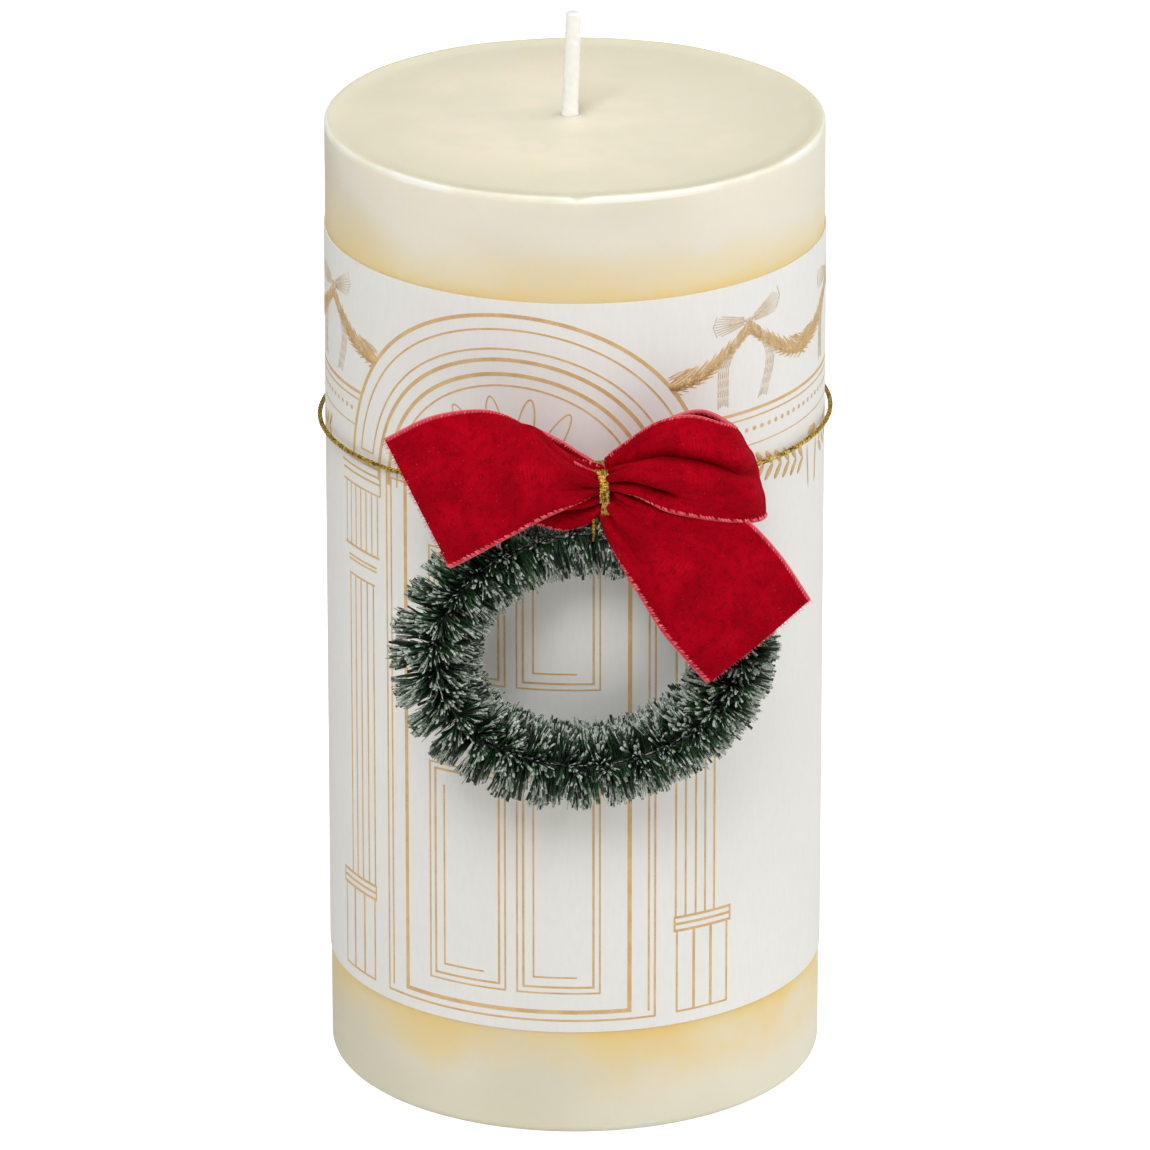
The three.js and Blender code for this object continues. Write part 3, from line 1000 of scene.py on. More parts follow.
class InkSheet:
    """A flat drawing in one ink: X runs round the candle from the door's middle, Y up, both in mm."""

    def __init__(self, name: str) -> None:
        """Starts an empty drawing, in edit mode."""
        self.piece = primitive("plane", name, size=MM)
        bpy.context.view_layer.objects.active = self.piece
        bpy.ops.object.mode_set(mode="EDIT")
        bpy.ops.mesh.select_all(action="SELECT")
        bpy.ops.mesh.delete(type="VERT")

    def start(self, shape: str, x: float, y: float, **sizes: Any) -> Vector:
        """Adds a primitive to the drawing, the only thing selected.

        Returns:
            Its middle, in metres.
        """
        bpy.ops.mesh.select_all(action="DESELECT")
        middle = Vector((x * MM, y * MM, 0.0))
        getattr(bpy.ops.mesh, f"primitive_{shape}_add")(location=middle, **sizes)
        return middle

    def bar(self, left: float, right: float, low: float, high: float) -> None:
        """Draws a filled rectangle."""
        middle = self.start("plane", (left + right) / 2, (low + high) / 2, size=MM)
        bpy.ops.transform.resize(value=(right - left, high - low, 1.0), center_override=middle)

    def across(self, left: float, right: float, y: float, width: float) -> None:
        """Draws a line that goes round the candle."""
        self.bar(left, right, y - width / 2, y + width / 2)

    def upright(self, x: float, low: float, high: float, width: float) -> None:
        """Draws a vertical line."""
        self.bar(x - width / 2, x + width / 2, low, high)

    def hollow(self, width: float) -> None:
        """Leaves only an outline of the selected face."""
        bpy.ops.mesh.select_mode(type="FACE")
        bpy.ops.mesh.inset(thickness=width * MM)
        bpy.ops.mesh.delete(type="FACE")

    def frame(self, left: float, right: float, low: float, high: float, width: float) -> None:
        """Draws the outline of a rectangle."""
        self.bar(left, right, low, high)
        self.hollow(width)

    def arch(self, y: float, radius: float, width: float, spring: float) -> None:
        """Draws a ring about a point on the middle line, and keeps what lies above its springing height."""
        self.start("circle", 0.0, y, vertices=160, radius=(radius + width / 2) * MM, fill_type="NGON")
        bpy.ops.mesh.select_mode(type="FACE")
        bpy.ops.mesh.inset(thickness=width * MM)
        bpy.ops.mesh.delete(type="FACE")
        pick(self.piece, Part.FACE, lambda p: abs(math.hypot(p.x, p.y - y * MM) - radius * MM) < MM / 20)
        cut = (0.0, spring * MM, 0.0)
        bpy.ops.mesh.bisect(plane_co=cut, plane_no=(0.0, -1.0, 0.0), clear_outer=True)

    def leaf(self, x: float, y: float, length: float, width: float, degrees: float, corners: int = 8) -> None:
        """Draws a filled oval that leans at an angle from the horizontal."""
        middle = self.start("circle", x, y, vertices=corners, radius=MM / 2, fill_type="NGON")
        bpy.ops.transform.resize(value=(length, width, 1.0), center_override=middle)
        self.turn(middle, degrees)

    def stroke(self, path: Sequence[tuple[float, float]], width: float) -> None:
        """Draws a curved line through points, as a chain of thin ovals."""
        for start, end in zip(path, path[1:]):
            length = math.dist(start, end) * 1.35
            lean = math.degrees(math.atan2(end[1] - start[1], end[0] - start[0]))
            self.leaf((start[0] + end[0]) / 2, (start[1] + end[1]) / 2, length, width, lean, corners=6)

    def turn(self, middle: Vector, degrees: float) -> None:
        """Turns what is selected anticlockwise about a point."""
        bpy.ops.transform.rotate(value=-math.radians(degrees), orient_axis="Z", center_override=middle)

    def petal(self, x: float, y: float, length: float, width: float, degrees: float, line: float) -> None:
        """Draws the outline of a petal."""
        self.leaf(x, y, length, width, degrees, corners=40)
        self.hollow(line)

    def done(self) -> bpy.types.Object:
        """Closes edit mode and hands the flat drawing over."""
        bpy.ops.object.mode_set(mode="OBJECT")
        return self.piece


@dataclass
class PrintedWrap:
    """The paper strip and the house front that is printed on it. Heights and widths are in mm."""

    paper: float = 0.19 * MM
    ink: float = 0.03 * MM
    ink_lift: float = 0.015 * MM
    arch_centre: float = 102.3
    cut_step: float = 2.0
    swag_pitch: float = 27.2
    first_swag: float = 38.7
    shape: WrapShape = field(default_factory=WrapShape)
    body: str = "candle"

    def build(self) -> list[bpy.types.Object]:
        """Models and dresses the wrap.

        Returns:
            Its pieces.
        """
        sheet = self.sheet()
        dress(sheet, WrapPaper().make())
        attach(sheet, self.body)
        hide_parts("paper_wrap")
        gold = PrintInk(InkTone.GOLD).make()
        pale = PrintInk(InkTone.PALE).make()
        prints = [
            (self.door(), gold),
            (self.pilasters(), gold),
            (self.cornice(), gold),
            (self.swags(), gold),
            (self.laurels(), gold),
            (self.bows(), pale),
        ]
        for piece, ink in prints:
            self.lay(piece)
            dress(piece, ink)
            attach(piece, self.body)
        return [sheet] + [piece for piece, _ in prints]

    def sheet(self) -> bpy.types.Object:
        """The paper: a flat grid rolled once round and lapped, then given its thickness."""
        shape = self.shape
        half = math.radians(180 + shape.half_lap) * shape.radius
        sheet = primitive("grid", "paper_sheet", x_subdivisions=248, y_subdivisions=10, size=1.0)
        flat = points_of(sheet)
        middle = (shape.top + shape.bottom) / 2
        tall = middle + flat[:, 1] * (shape.top - shape.bottom)
        place_points(sheet, np.c_[flat[:, 0] * 2 * half, tall, flat[:, 2]])
        shape.roll(sheet, 0.0)
        with editing(sheet):
            bpy.ops.mesh.select_all(action="SELECT")
            bpy.ops.mesh.normals_make_consistent(inside=False)
        use_modifier(sheet, "SOLIDIFY", thickness=self.paper, offset=-1.0)
        smooth(sheet, 40)
        return sheet

    def lay(self, piece: bpy.types.Object) -> None:
        """Cuts a flat drawing into strips, rolls it round the paper and gives the ink its thickness."""
        across = points_of(piece)[:, 0] / MM
        covered = math.radians(180 - self.shape.half_lap) * self.shape.radius
        end = math.radians(180 + self.shape.half_lap) * self.shape.radius
        with editing(piece):
            for edge, side in ((-covered, -1.0), (end, 1.0)):
                cut_through((edge, 0.0, 0.0), (side, 0.0, 0.0), clear_outer=True)
            for cut in np.arange(math.floor(across.min()), across.max(), self.cut_step):
                cut_through((cut * MM, 0.0, 0.0), (1.0, 0.0, 0.0))
        self.shape.roll(piece, self.ink_lift)
        use_modifier(piece, "SOLIDIFY", thickness=self.ink, offset=0.0)
        with editing(piece):
            bpy.ops.mesh.select_all(action="SELECT")
            bpy.ops.mesh.normals_make_consistent(inside=False)

    def door(self) -> bpy.types.Object:
        """The arches, the door's frame and its four panels."""
        ink = InkSheet("print_door")
        for radius, width, spring in (
            (31.1, 0.6, 104.5),
            (28.9, 0.3, 106.2),
            (25.8, 0.3, 106.2),
            (24.1, 0.6, 102.3),
            (21.8, 0.6, 102.3),
            (20.0, 0.3, 102.3),
        ):
            ink.arch(self.arch_centre, radius, width, spring)
        for side in (-1, 1):
            for inner, outer, y, width in (
                (25.5, 28.7, 106.2, 0.3),
                (21.2, 22.4, 104.4, 0.3),
                (18.0, 22.4, 103.6, 0.27),
            ):
                ink.across(min(side * inner, side * outer), max(side * inner, side * outer), y, width)
            ink.upright(side * 22.3, 19.1, 104.4, 0.3)
            ink.upright(side * 21.3, 20.2, 103.6, 0.3)
            ink.upright(side * 18.25, 20.3, 104.0, 0.65)
        ink.across(-22.4, 22.4, 19.2, 0.32)
        ink.across(-18.57, 18.57, 20.6, 0.65)
        for middle in (-7.3, 7.3):
            for low, high, shelf in ((23.6, 59.55, 26.35), (73.6, 94.7, 76.3)):
                ink.frame(middle - 6.5, middle + 6.5, low, high, 0.27)
                ink.frame(middle - 5.55, middle + 5.55, low + 0.95, high - 0.9, 0.34)
                ink.upright(middle - 3.8, shelf, high - 3.6, 0.27)
                ink.across(middle - 3.9, middle + 2.9, shelf, 0.27)
        for lean in (-70, -50, -30, -10, 10, 30, 50, 70):
            reach = 12.2 if abs(lean) < 40 else 9.4
            x = reach * math.sin(math.radians(lean))
            y = self.arch_centre + reach * math.cos(math.radians(lean))
            ink.petal(x, y, 2 * reach - 12.0, 2.9, 90 - lean, 0.24)
        return ink.done()

    def pilasters(self) -> bpy.types.Object:
        """The fluted pilaster on each side of the door, from its base to its capital."""
        ink = InkSheet("print_pilasters")
        for side in (-1, 1):

            def uprights(
                places: Sequence[float], low: float, high: float, width: float, side: int = side
            ) -> None:
                """Draws a row of upright lines."""
                for place in places:
                    ink.upright(side * place, low, high, width)

            def ledge(inner: float, outer: float, y: float, width: float, side: int = side) -> None:
                """Draws one horizontal moulding."""
                ink.across(min(side * inner, side * outer), max(side * inner, side * outer), y, width)

            uprights((25.9, 34.8), 19.3, 32.6, 0.3)
            uprights((28.8, 31.8), 19.3, 32.6, 0.45)
            ledge(25.8, 34.9, 19.35, 0.32)
            for y in (35.0, 33.9, 32.8):
                ledge(25.4, 35.5, y, 0.42)
            uprights((25.5, 35.4), 32.6, 35.2, 0.3)
            uprights((25.7, 27.35, 29.1, 30.75, 32.4), 35.2, 84.7, 0.3)
            ledge(25.3, 32.7, 84.75, 0.3)
            ledge(24.8, 32.8, 87.1, 0.3)
            ledge(24.8, 32.8, 87.75, 0.3)
            ledge(24.1, 33.9, 89.5, 0.4)
            uprights((24.5, 26.0, 27.5, 29.0, 30.5, 32.0, 33.5), 89.7, 99.6, 0.27)
            ledge(23.9, 34.5, 99.65, 0.3)
            ledge(23.9, 34.5, 101.5, 0.32)
            ledge(23.9, 35.0, 102.6, 0.32)
            ledge(23.7, 35.5, 104.0, 0.5)
            uprights((23.8,), 99.6, 104.2, 0.3)
        return ink.done()

    def cornice(self) -> bpy.types.Object:
        """The mouldings and the row of dots that run from the arch right round the back."""
        ink = InkSheet("print_cornice")
        lap = math.radians(180 + self.shape.half_lap) * self.shape.radius / MM - 0.05
        for side in (-1, 1):
            for inner, y, width in ((28.6, 115.0, 0.5), (29.3, 113.8, 0.27), (30.6, 109.4, 0.2)):
                end = side * (lap if side > 0 else math.pi * self.shape.radius / MM)
                ink.across(min(side * inner, end), max(side * inner, end), y, width)
            for index in range(57):
                ink.leaf(side * (31.6 + 1.66 * index), 111.9, 0.76, 0.76, 0.0, corners=10)
        return ink.done()

    def repeated(
        self, name: str, model: bpy.types.Object, places: Sequence[tuple[float, float]]
    ) -> bpy.types.Object:
        """Repeats a flat drawing along the wrap.

        Args:
            name: The name of the whole.
            model: The drawing, about its own origin.
            places: Each copy's place along X in mm, and its stretch along X (below 0 mirrors it).

        Returns:
            The flat piece that holds every copy.
        """
        basis = np.array([np.diag([stretch, 1.0, 1.0]) for _, stretch in places])
        origin = np.array([(x * MM, 0.0, 0.0) for x, _ in places])
        return copies(name, model, basis, origin)

    def bow_middles(self) -> list[float]:
        """Where the printed bows are tied, in mm from the door's middle; both ends share the lap's bow."""
        right = [self.first_swag + index * self.swag_pitch for index in range(4)]
        return [-x for x in right] + right

    def swags(self) -> bpy.types.Object:
        """The garland between the bows: a solid core under a ragged fan of fine needles."""
        ink = InkSheet("print_half_swag")
        draw = np.random.default_rng(12)
        span, drop = self.swag_pitch / 2, 6.4

        def middle(share: float) -> tuple[float, float, float]:
            """The garland's middle line: X, Y and slope in degrees."""
            slope = -drop * math.pi / 2 * math.cos(share * math.pi / 2) / span
            return span * share, 128.2 - drop * math.sin(share * math.pi / 2), math.degrees(math.atan(slope))

        for index in range(12):
            x, y, slope = middle((index + 0.5) / 12)
            ink.leaf(x, y - 0.25, 3.0, 0.5 + 1.5 * (index / 12) ** 1.3, slope)
        for index in range(120):
            share = (index + draw.random()) / 120
            x, y, slope = middle(share)
            up = index % 3 != 0
            reach = (0.5 + 1.3 * share) * draw.random() ** 0.7
            lean = slope + 180 + (-1 if up else 1) * (14 + 16 * draw.random())
            length, width = 2.0 + 1.8 * draw.random(), 0.2 + 0.1 * draw.random()
            ink.leaf(x, y + (reach if up else -0.8 * reach), length, width, lean)
        half = ink.done()
        places = []
        for bow in self.bow_middles():
            places += [(bow, 1.0), (bow, -1.0)]
        return self.repeated("print_swags", half, places)

    def bows(self) -> bpy.types.Object:
        """The striped bows that the garland hangs from."""
        ink = InkSheet("print_bow")
        for side, tilt, size in ((-1, 1.0, 7.0), (1, 17.0, 7.2)):
            for line in range(9):
                fan = math.radians(tilt + 3.2 * (line - 4))
                bulge = 1 - 0.012 * (line - 4) ** 2
                start = Vector((0.7, 0.12 * (line - 4)))
                end = start + Vector((math.cos(fan), math.sin(fan))) * size * bulge * 0.93
                middle = (start + end) / 2
                length = (end - start).length
                ink.leaf(side * middle.x, 129.6 + middle.y, length, 0.24, side * math.degrees(fan), 6)
            rises = [0.35 * t if side > 0 else 0.02 for t in range(5)]
            ink.stroke([(side * (0.4 + 0.9 * t), 129.6 + rise) for t, rise in enumerate(rises)], 0.5)
            outer = math.radians(tilt)
            x, y = side * size * math.cos(outer), 129.6 + size * math.sin(outer)
            ink.stroke([(x - side * 0.28 * abs(t), y + 0.62 * t) for t in (-2.6, -1.3, 0, 1.3, 2.6)], 0.22)
        for side in (-1, 1):
            for line in range(6):
                off = 0.36 * (line - 2.5)
                path = []
                for step in range(9):
                    t = step / 8
                    inwards = 0.0 if side < 0 else 2.2
                    sweep = 4.6 * math.sin(min(1.0, 1.7 * t) * math.pi / 2) - inwards * t**3
                    width = off * min(1.0, 0.35 + 2.2 * t)
                    notch = abs(off) * (0.5 if step == 8 else 0)
                    path.append((side * (0.5 + sweep + width), 128.7 - 11.6 * t - notch))
                ink.stroke(path, 0.2)
        ink.leaf(0.0, 129.4, 1.3, 1.2, 0.0)
        return self.repeated("print_bows", ink.done(), [(x, 1.0) for x in self.bow_middles()])

    def laurels(self) -> bpy.types.Object:
        """The sprigs of paired leaves under the cornice, with the ribbon tails between them."""
        ink = InkSheet("print_half_laurel")
        ink.leaf(0.6, 106.3, 2.2, 1.9, 0.0, corners=12)
        ink.leaf(1.7, 101.0, 7.2, 0.55, 85.0)
        for pair in range(6):
            x, y = 4.6 + 2.2 * pair, 103.4 + 0.42 * pair
            ink.leaf(x, y + 1.2, 3.0, 1.0, 56.0)
            ink.leaf(x, y - 1.2, 3.0, 1.0, -50.0)
        circle = math.pi * self.shape.radius / MM
        places = []
        for middle in (-0.4711 * circle, 0.4711 * circle, 0.7356 * circle, -0.7356 * circle):
            places += [(middle, 1.0), (middle, -1.0)]
        places += [(circle, 1.0), (circle, -1.0), (-circle, 1.0)]
        return self.repeated("print_laurels", ink.done(), places)


# ---------------------------------------------------------------- gold cord


@dataclass
class GoldCord:
    """The closed loop of three-strand gold cord that hangs a little tilted round the wrap."""

    strands: int = 3
    offset: float = 0.2 * MM
    yarn: float = 0.2 * MM
    pitch: float = 2.7 * MM
    steps_per_turn: int = 10
    radius: float = 39.15 * MM
    height: float = 105.2 * MM
    tilt_x: float = -1.43
    tilt_y: float = -0.95
    body: str = "cord"

    def build(self) -> list[bpy.types.Object]:
        """Models and dresses the cord.

        Returns:
            Its one piece.
        """
        turns = round(2 * math.pi * self.radius / self.pitch)
        angle = np.linspace(0, 2 * math.pi, turns * self.steps_per_turn, endpoint=False)
        ring = np.c_[np.cos(angle), np.sin(angle), np.zeros_like(angle)] * self.radius
        about_x = Matrix.Rotation(math.radians(self.tilt_x), 3, "X")
        tilt = Matrix.Rotation(math.radians(self.tilt_y), 3, "Y") @ about_x
        ring = ring @ np.array(tilt).T + np.array([0.0, 0.0, self.height])
        cord = tube("gold_cord", twisted(ring, self.strands, self.offset, turns, True), self.yarn, True)
        dress(cord, GoldThread().make())
        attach(cord, self.body)
        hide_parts("gold_cord_loop")
        return [cord]


# ---------------------------------------------------------------- bow


@dataclass
class Pleat:
    """A fold along a stretch of ribbon, pressed in or raised."""

    across: float
    depth: float
    width: float
    start: float
    end: float
    drift: float = 0.0


@dataclass
class Stretch:
    """A stretch of ribbon as rows of points in mm, each row running from the upper edge to the lower."""

    name: str
    rows: Sequence[Sequence[Point]]
    pleats: Sequence[Pleat] = ()
    cut_end: bool = False


LEFT_TAIL = Stretch(
    "ribbon_tail_left",
    (
        (
            (0.0, -43.6, 110.8), (0.0, -44.5, 110.2), (0.0, -44.8, 109.5),
            (0.0, -44.8, 108.8), (0.0, -44.4, 108.2),
        ),
        (
            (-2.4, -43.4, 111.6), (-2.4, -45.0, 111.6), (-2.4, -46.1, 110.6),
            (-2.4, -46.5, 109.5), (-2.2, -46.4, 108.5),
        ),
        (
            (-6.0, -43.8, 113.2), (-6.2, -46.6, 115.4), (-5.8, -48.6, 113.0),
            (-5.6, -49.2, 110.4), (-5.2, -48.8, 107.9),
        ),
        (
            (-10.5, -44.8, 117.4), (-11.0, -48.2, 120.0), (-10.6, -50.6, 115.8),
            (-10.2, -51.0, 111.2), (-9.4, -50.4, 106.9),
        ),
        (
            (-18.0, -48.0, 122.9), (-18.0, -50.6, 119.4), (-17.4, -52.0, 114.0),
            (-16.6, -52.4, 109.0), (-15.6, -51.8, 104.3),
        ),
        (
            (-26.0, -48.8, 122.7), (-24.4, -51.0, 117.8), (-23.0, -52.2, 112.6),
            (-21.4, -52.8, 107.4), (-19.8, -52.6, 102.4),
        ),
        (
            (-33.5, -49.0, 119.4), (-31.2, -50.4, 114.8), (-28.9, -51.6, 110.0),
            (-26.6, -52.6, 105.2), (-24.3, -53.0, 100.3),
        ),
    ),
    pleats=(Pleat(0.30, -1.7, 0.10, 0.02, 0.42, 0.08), Pleat(0.52, 0.5, 0.10, 0.02, 0.35)),
    cut_end=True,
)

RIGHT_TAIL = Stretch(
    "ribbon_tail_right",
    (
        (
            (1.4, -43.2, 109.0), (1.0, -44.6, 108.4), (0.5, -45.2, 107.2),
            (0.0, -45.2, 106.0), (-0.6, -44.6, 105.0),
        ),
        (
            (4.8, -45.0, 109.6), (3.6, -48.0, 108.2), (2.2, -49.2, 106.4),
            (0.9, -48.8, 104.4), (-0.4, -47.0, 102.6),
        ),
        (
            (9.0, -47.4, 109.4), (7.2, -50.2, 107.0), (5.2, -51.4, 104.0),
            (3.4, -51.4, 101.0), (1.7, -50.6, 98.6),
        ),
        (
            (14.2, -49.8, 108.2), (11.6, -52.0, 104.8), (9.0, -52.9, 101.2),
            (6.4, -53.1, 97.6), (4.1, -52.8, 94.8),
        ),
        (
            (19.6, -51.6, 105.9), (16.6, -53.2, 102.0), (13.4, -53.8, 97.8),
            (10.2, -54.0, 93.4), (7.3, -53.8, 89.4),
        ),
        (
            (24.7, -53.0, 100.7), (21.4, -54.1, 97.0), (17.9, -54.5, 92.9),
            (14.3, -54.5, 88.7), (10.8, -54.2, 84.9),
        ),
        (
            (29.5, -54.0, 93.3), (25.7, -54.6, 90.2), (21.9, -54.8, 87.0),
            (18.1, -54.7, 83.9), (14.3, -54.2, 80.7),
        ),
    ),
    pleats=(Pleat(0.35, -0.9, 0.12, 0.0, 0.30), Pleat(0.6, 0.5, 0.14, 0.0, 0.45)),
    cut_end=True,
)

RIGHT_LOOP = Stretch(
    "ribbon_loop_right",
    (
        (
            (0.4, -41.4, 110.2), (0.4, -41.2, 109.6), (0.4, -41.2, 108.8),
            (0.4, -41.2, 108.0), (0.4, -41.4, 107.2),
        ),
        (
            (7.0, -41.6, 116.6), (7.2, -41.0, 114.2), (7.4, -40.8, 111.6),
            (7.6, -40.9, 109.0), (7.6, -41.2, 106.6),
        ),
        (
            (14.5, -41.8, 119.4), (15.4, -40.9, 116.2), (16.0, -40.6, 112.8),
            (16.4, -40.7, 109.2), (16.6, -41.2, 105.6),
        ),
        (
            (19.2, -44.4, 117.5), (21.3, -44.0, 114.4), (22.5, -44.3, 111.1),
            (23.3, -45.2, 107.7), (23.4, -46.8, 104.3),
        ),
        (
            (17.2, -47.4, 119.2), (19.2, -50.0, 115.4), (20.2, -51.3, 112.0),
            (20.6, -51.6, 108.7), (20.4, -51.6, 105.2),
        ),
        (
            (12.0, -47.4, 120.7), (12.8, -50.6, 116.8), (13.2, -51.8, 113.2),
            (13.4, -52.0, 109.7), (13.4, -51.7, 106.2),
        ),
        (
            (7.0, -46.8, 119.4), (7.0, -49.6, 116.4), (7.2, -50.7, 113.4),
            (7.4, -51.0, 110.5), (7.8, -51.0, 107.5),
        ),
        (
            (3.2, -45.4, 116.0), (3.0, -47.4, 114.4), (3.0, -48.4, 112.7),
            (3.4, -49.0, 111.0), (4.4, -49.6, 109.2),
        ),
        (
            (0.2, -43.7, 112.0), (0.2, -44.6, 111.4), (0.2, -45.0, 110.6),
            (0.2, -45.2, 109.8), (0.3, -45.2, 109.0),
        ),
    ),
    pleats=(
        Pleat(0.37, -3.6, 0.075, 0.47, 1.06, -0.5),
        Pleat(0.58, 0.9, 0.12, 0.6, 1.0),
        Pleat(0.80, -3.0, 0.07, 0.72, 1.03, -0.3),
        Pleat(0.25, -2.4, 0.075, -0.15, 0.5),
        Pleat(0.66, -2.2, 0.075, -0.15, 0.5),
    ),
)

LEFT_LOOP = Stretch(
    "ribbon_loop_left",
    (
        (
            (-0.8, -41.4, 110.4), (-0.8, -41.2, 109.5), (-0.8, -41.2, 108.6),
            (-0.8, -41.2, 107.6), (-0.8, -41.4, 106.6),
        ),
        (
            (-7.0, -41.4, 115.4), (-7.2, -40.9, 112.6), (-7.4, -40.8, 109.6),
            (-7.6, -40.9, 106.8), (-7.6, -41.2, 103.9),
        ),
        (
            (-14.0, -41.6, 118.6), (-14.4, -41.0, 114.9), (-14.8, -40.8, 111.2),
            (-15.0, -41.0, 107.6), (-15.0, -41.4, 103.8),
        ),
        (
            (-19.2, -44.0, 118.4), (-20.0, -43.8, 114.7), (-20.2, -43.8, 111.0),
            (-19.8, -44.0, 107.4), (-18.8, -44.4, 103.9),
        ),
        (
            (-13.6, -46.0, 118.4), (-14.0, -47.2, 114.8), (-13.8, -47.6, 111.2),
            (-13.0, -47.6, 107.8), (-11.8, -47.0, 104.6),
        ),
        (
            (-7.6, -45.6, 114.9), (-7.8, -46.8, 111.8), (-7.4, -47.4, 108.8),
            (-6.8, -47.4, 105.9), (-5.8, -46.6, 103.1),
        ),
        (
            (-3.6, -44.6, 112.0), (-3.4, -45.6, 110.0), (-3.2, -46.2, 108.0),
            (-2.8, -46.2, 106.0), (-2.2, -45.6, 104.2),
        ),
        (
            (-0.4, -43.6, 109.6), (-0.4, -44.2, 108.7), (-0.4, -44.5, 107.9),
            (-0.4, -44.5, 107.0), (-0.4, -44.3, 106.1),
        ),
    ),
    pleats=(
        Pleat(0.27, -2.4, 0.075, -0.15, 0.52),
        Pleat(0.7, -2.2, 0.075, -0.15, 0.52),
        Pleat(0.4, -1.5, 0.08, 0.55, 1.15),
        Pleat(0.75, -1.6, 0.07, 0.6, 1.1),
    ),
)


@dataclass
class VelvetBow:
    """One velvet ribbon tied in a bow: two loops, two tails, the bound edges and the gold winding."""

    width: float = 22.0
    thickness: float = 0.7 * MM
    rows_per_mm: float = 2.4
    columns: int = 45
    selvedge: float = 0.8
    stitch_pitch: float = 0.56 * MM
    stitch_length: float = 1.05 * MM
    fray_pitch: float = 0.13 * MM
    gather: float = 0.95
    gather_folds: float = 3.5
    body: str = "bow"
    swing_body: str = "hanger"
    lift_body: str = "wreath"
    bend_start: Point = (0.0, 0.0, 104.5 * MM)
    bend_end: Point = (0.0, 0.0, 94.0 * MM)
    loop_bend: tuple[float, float] = (1.5 * MM, 12.0 * MM)

    def build(self) -> list[bpy.types.Object]:
        """Models and dresses the bow.

        Returns:
            Its pieces.
        """
        velvet = RedVelvet().make()
        yarn = EdgeYarn().make()
        made = []
        for stretch in (LEFT_LOOP, RIGHT_LOOP, LEFT_TAIL, RIGHT_TAIL):
            surface = self.surface(stretch)
            ribbon = self.ribbon(stretch, surface)
            dress(ribbon, velvet)
            edges = self.edges(stretch, surface)
            dress(edges, yarn)
            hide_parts("velvet_ribbon")
            for piece in (ribbon, edges):
                if stretch.cut_end:
                    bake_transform(piece)
                else:
                    away = -1.0 if stretch is LEFT_LOOP else 1.0
                    start, end = (away * self.loop_bend[0], 0.0, 0.0), (away * self.loop_bend[1], 0.0, 0.0)
                    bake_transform(piece)
            made += [ribbon, edges]
        waist = self.waist()
        dress(waist, velvet)
        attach(waist, self.body)
        tie = self.tie()
        dress(tie, GoldThread().make())
        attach(tie, self.body)
        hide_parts("tie_wraps")
        return [*made, waist, tie]

    def surface(self, stretch: Stretch) -> np.ndarray:
        """The middle face of a stretch as rows of points in metres, pleats and gathers included."""
        rows = np.array(stretch.rows) * MM
        rows = smooth_rows(rows, int(run_along(rows[:, 2])[-1] / MM * self.rows_per_mm))
        grid = smooth_rows(rows.transpose(1, 0, 2), self.columns).transpose(1, 0, 2)
        down = np.gradient(grid, axis=0)
        side = np.gradient(grid, axis=1)
        normal = np.cross(down, side)
        normal /= np.linalg.norm(normal, axis=2)[:, :, None] + 1e-12
        along = np.linspace(0, 1, grid.shape[0])[:, None]
        across = np.linspace(0, 1, grid.shape[1])[None, :]
        push = np.zeros(grid.shape[:2])
        for pleat in stretch.pleats:
            middle = pleat.across + pleat.drift * (along - (pleat.start + pleat.end) / 2)
            share = np.clip((along - pleat.start) / (pleat.end - pleat.start), 0, 1)
            window = np.sin(math.pi * share) ** 0.8
            push += pleat.depth * MM * window * np.exp(-(((across - middle) / pleat.width) ** 2))
        ends = [0.0] if stretch.cut_end else [0.0, 1.0]
        length = run_along(grid[:, self.columns // 2])[-1] / MM
        for end in ends:
            away = np.abs(along - end) * length
            fade = np.exp(-away / 6.0) * np.clip(away / 1.2, 0, 1)
            folds = np.sin(2 * math.pi * self.gather_folds * across + 0.8)
            folds = folds + 0.3 * np.sin(2 * math.pi * 2.7 * self.gather_folds * across + 2.1 * away / 6.0)
            push += self.gather * MM * fade * folds
        outward = self.outward(grid, normal)
        return grid + normal * (push * outward)[:, :, None]

    def outward(self, grid: np.ndarray, normal: np.ndarray) -> float:
        """1 or -1, so that a positive fold stands out from the bow's front."""
        front = normal[int(grid.shape[0] * 0.8), grid.shape[1] // 2]
        return 1.0 if front[1] < 0 else -1.0

    def ribbon(self, stretch: Stretch, surface: np.ndarray) -> bpy.types.Object:
        """A grid laid on the surface, given its thickness and a map of millimetres."""
        count_along, count_across = surface.shape[:2]
        ribbon = primitive(
            "grid", stretch.name, x_subdivisions=count_across - 1, y_subdivisions=count_along - 1, size=1.0
        )
        place_points(ribbon, surface.reshape(-1, 3))
        run = run_along(surface[:, count_across // 2]) / MM
        across = np.linspace(0, self.width, count_across)
        spot = np.stack(np.broadcast_arrays(run[:, None], across[None, :]), -1).reshape(-1, 2)
        corners = np.empty(len(ribbon.data.loops), np.int32)
        ribbon.data.loops.foreach_get("vertex_index", corners)
        ribbon.data.uv_layers[0].data.foreach_set("uv", spot[corners].astype(np.float32).ravel())
        from_edge = np.minimum(across, self.width - across)
        edge = np.clip(1 - from_edge / self.selvedge, 0, 1)[None, :] + np.zeros((count_along, 1))
        mark(ribbon, "selvedge", edge.ravel())
        use_modifier(ribbon, "SOLIDIFY", thickness=self.thickness, offset=0.0, use_even_offset=False)
        with editing(ribbon):
            bpy.ops.mesh.select_all(action="SELECT")
            bpy.ops.mesh.normals_make_consistent(inside=False)
        smooth(ribbon, 60)
        return ribbon

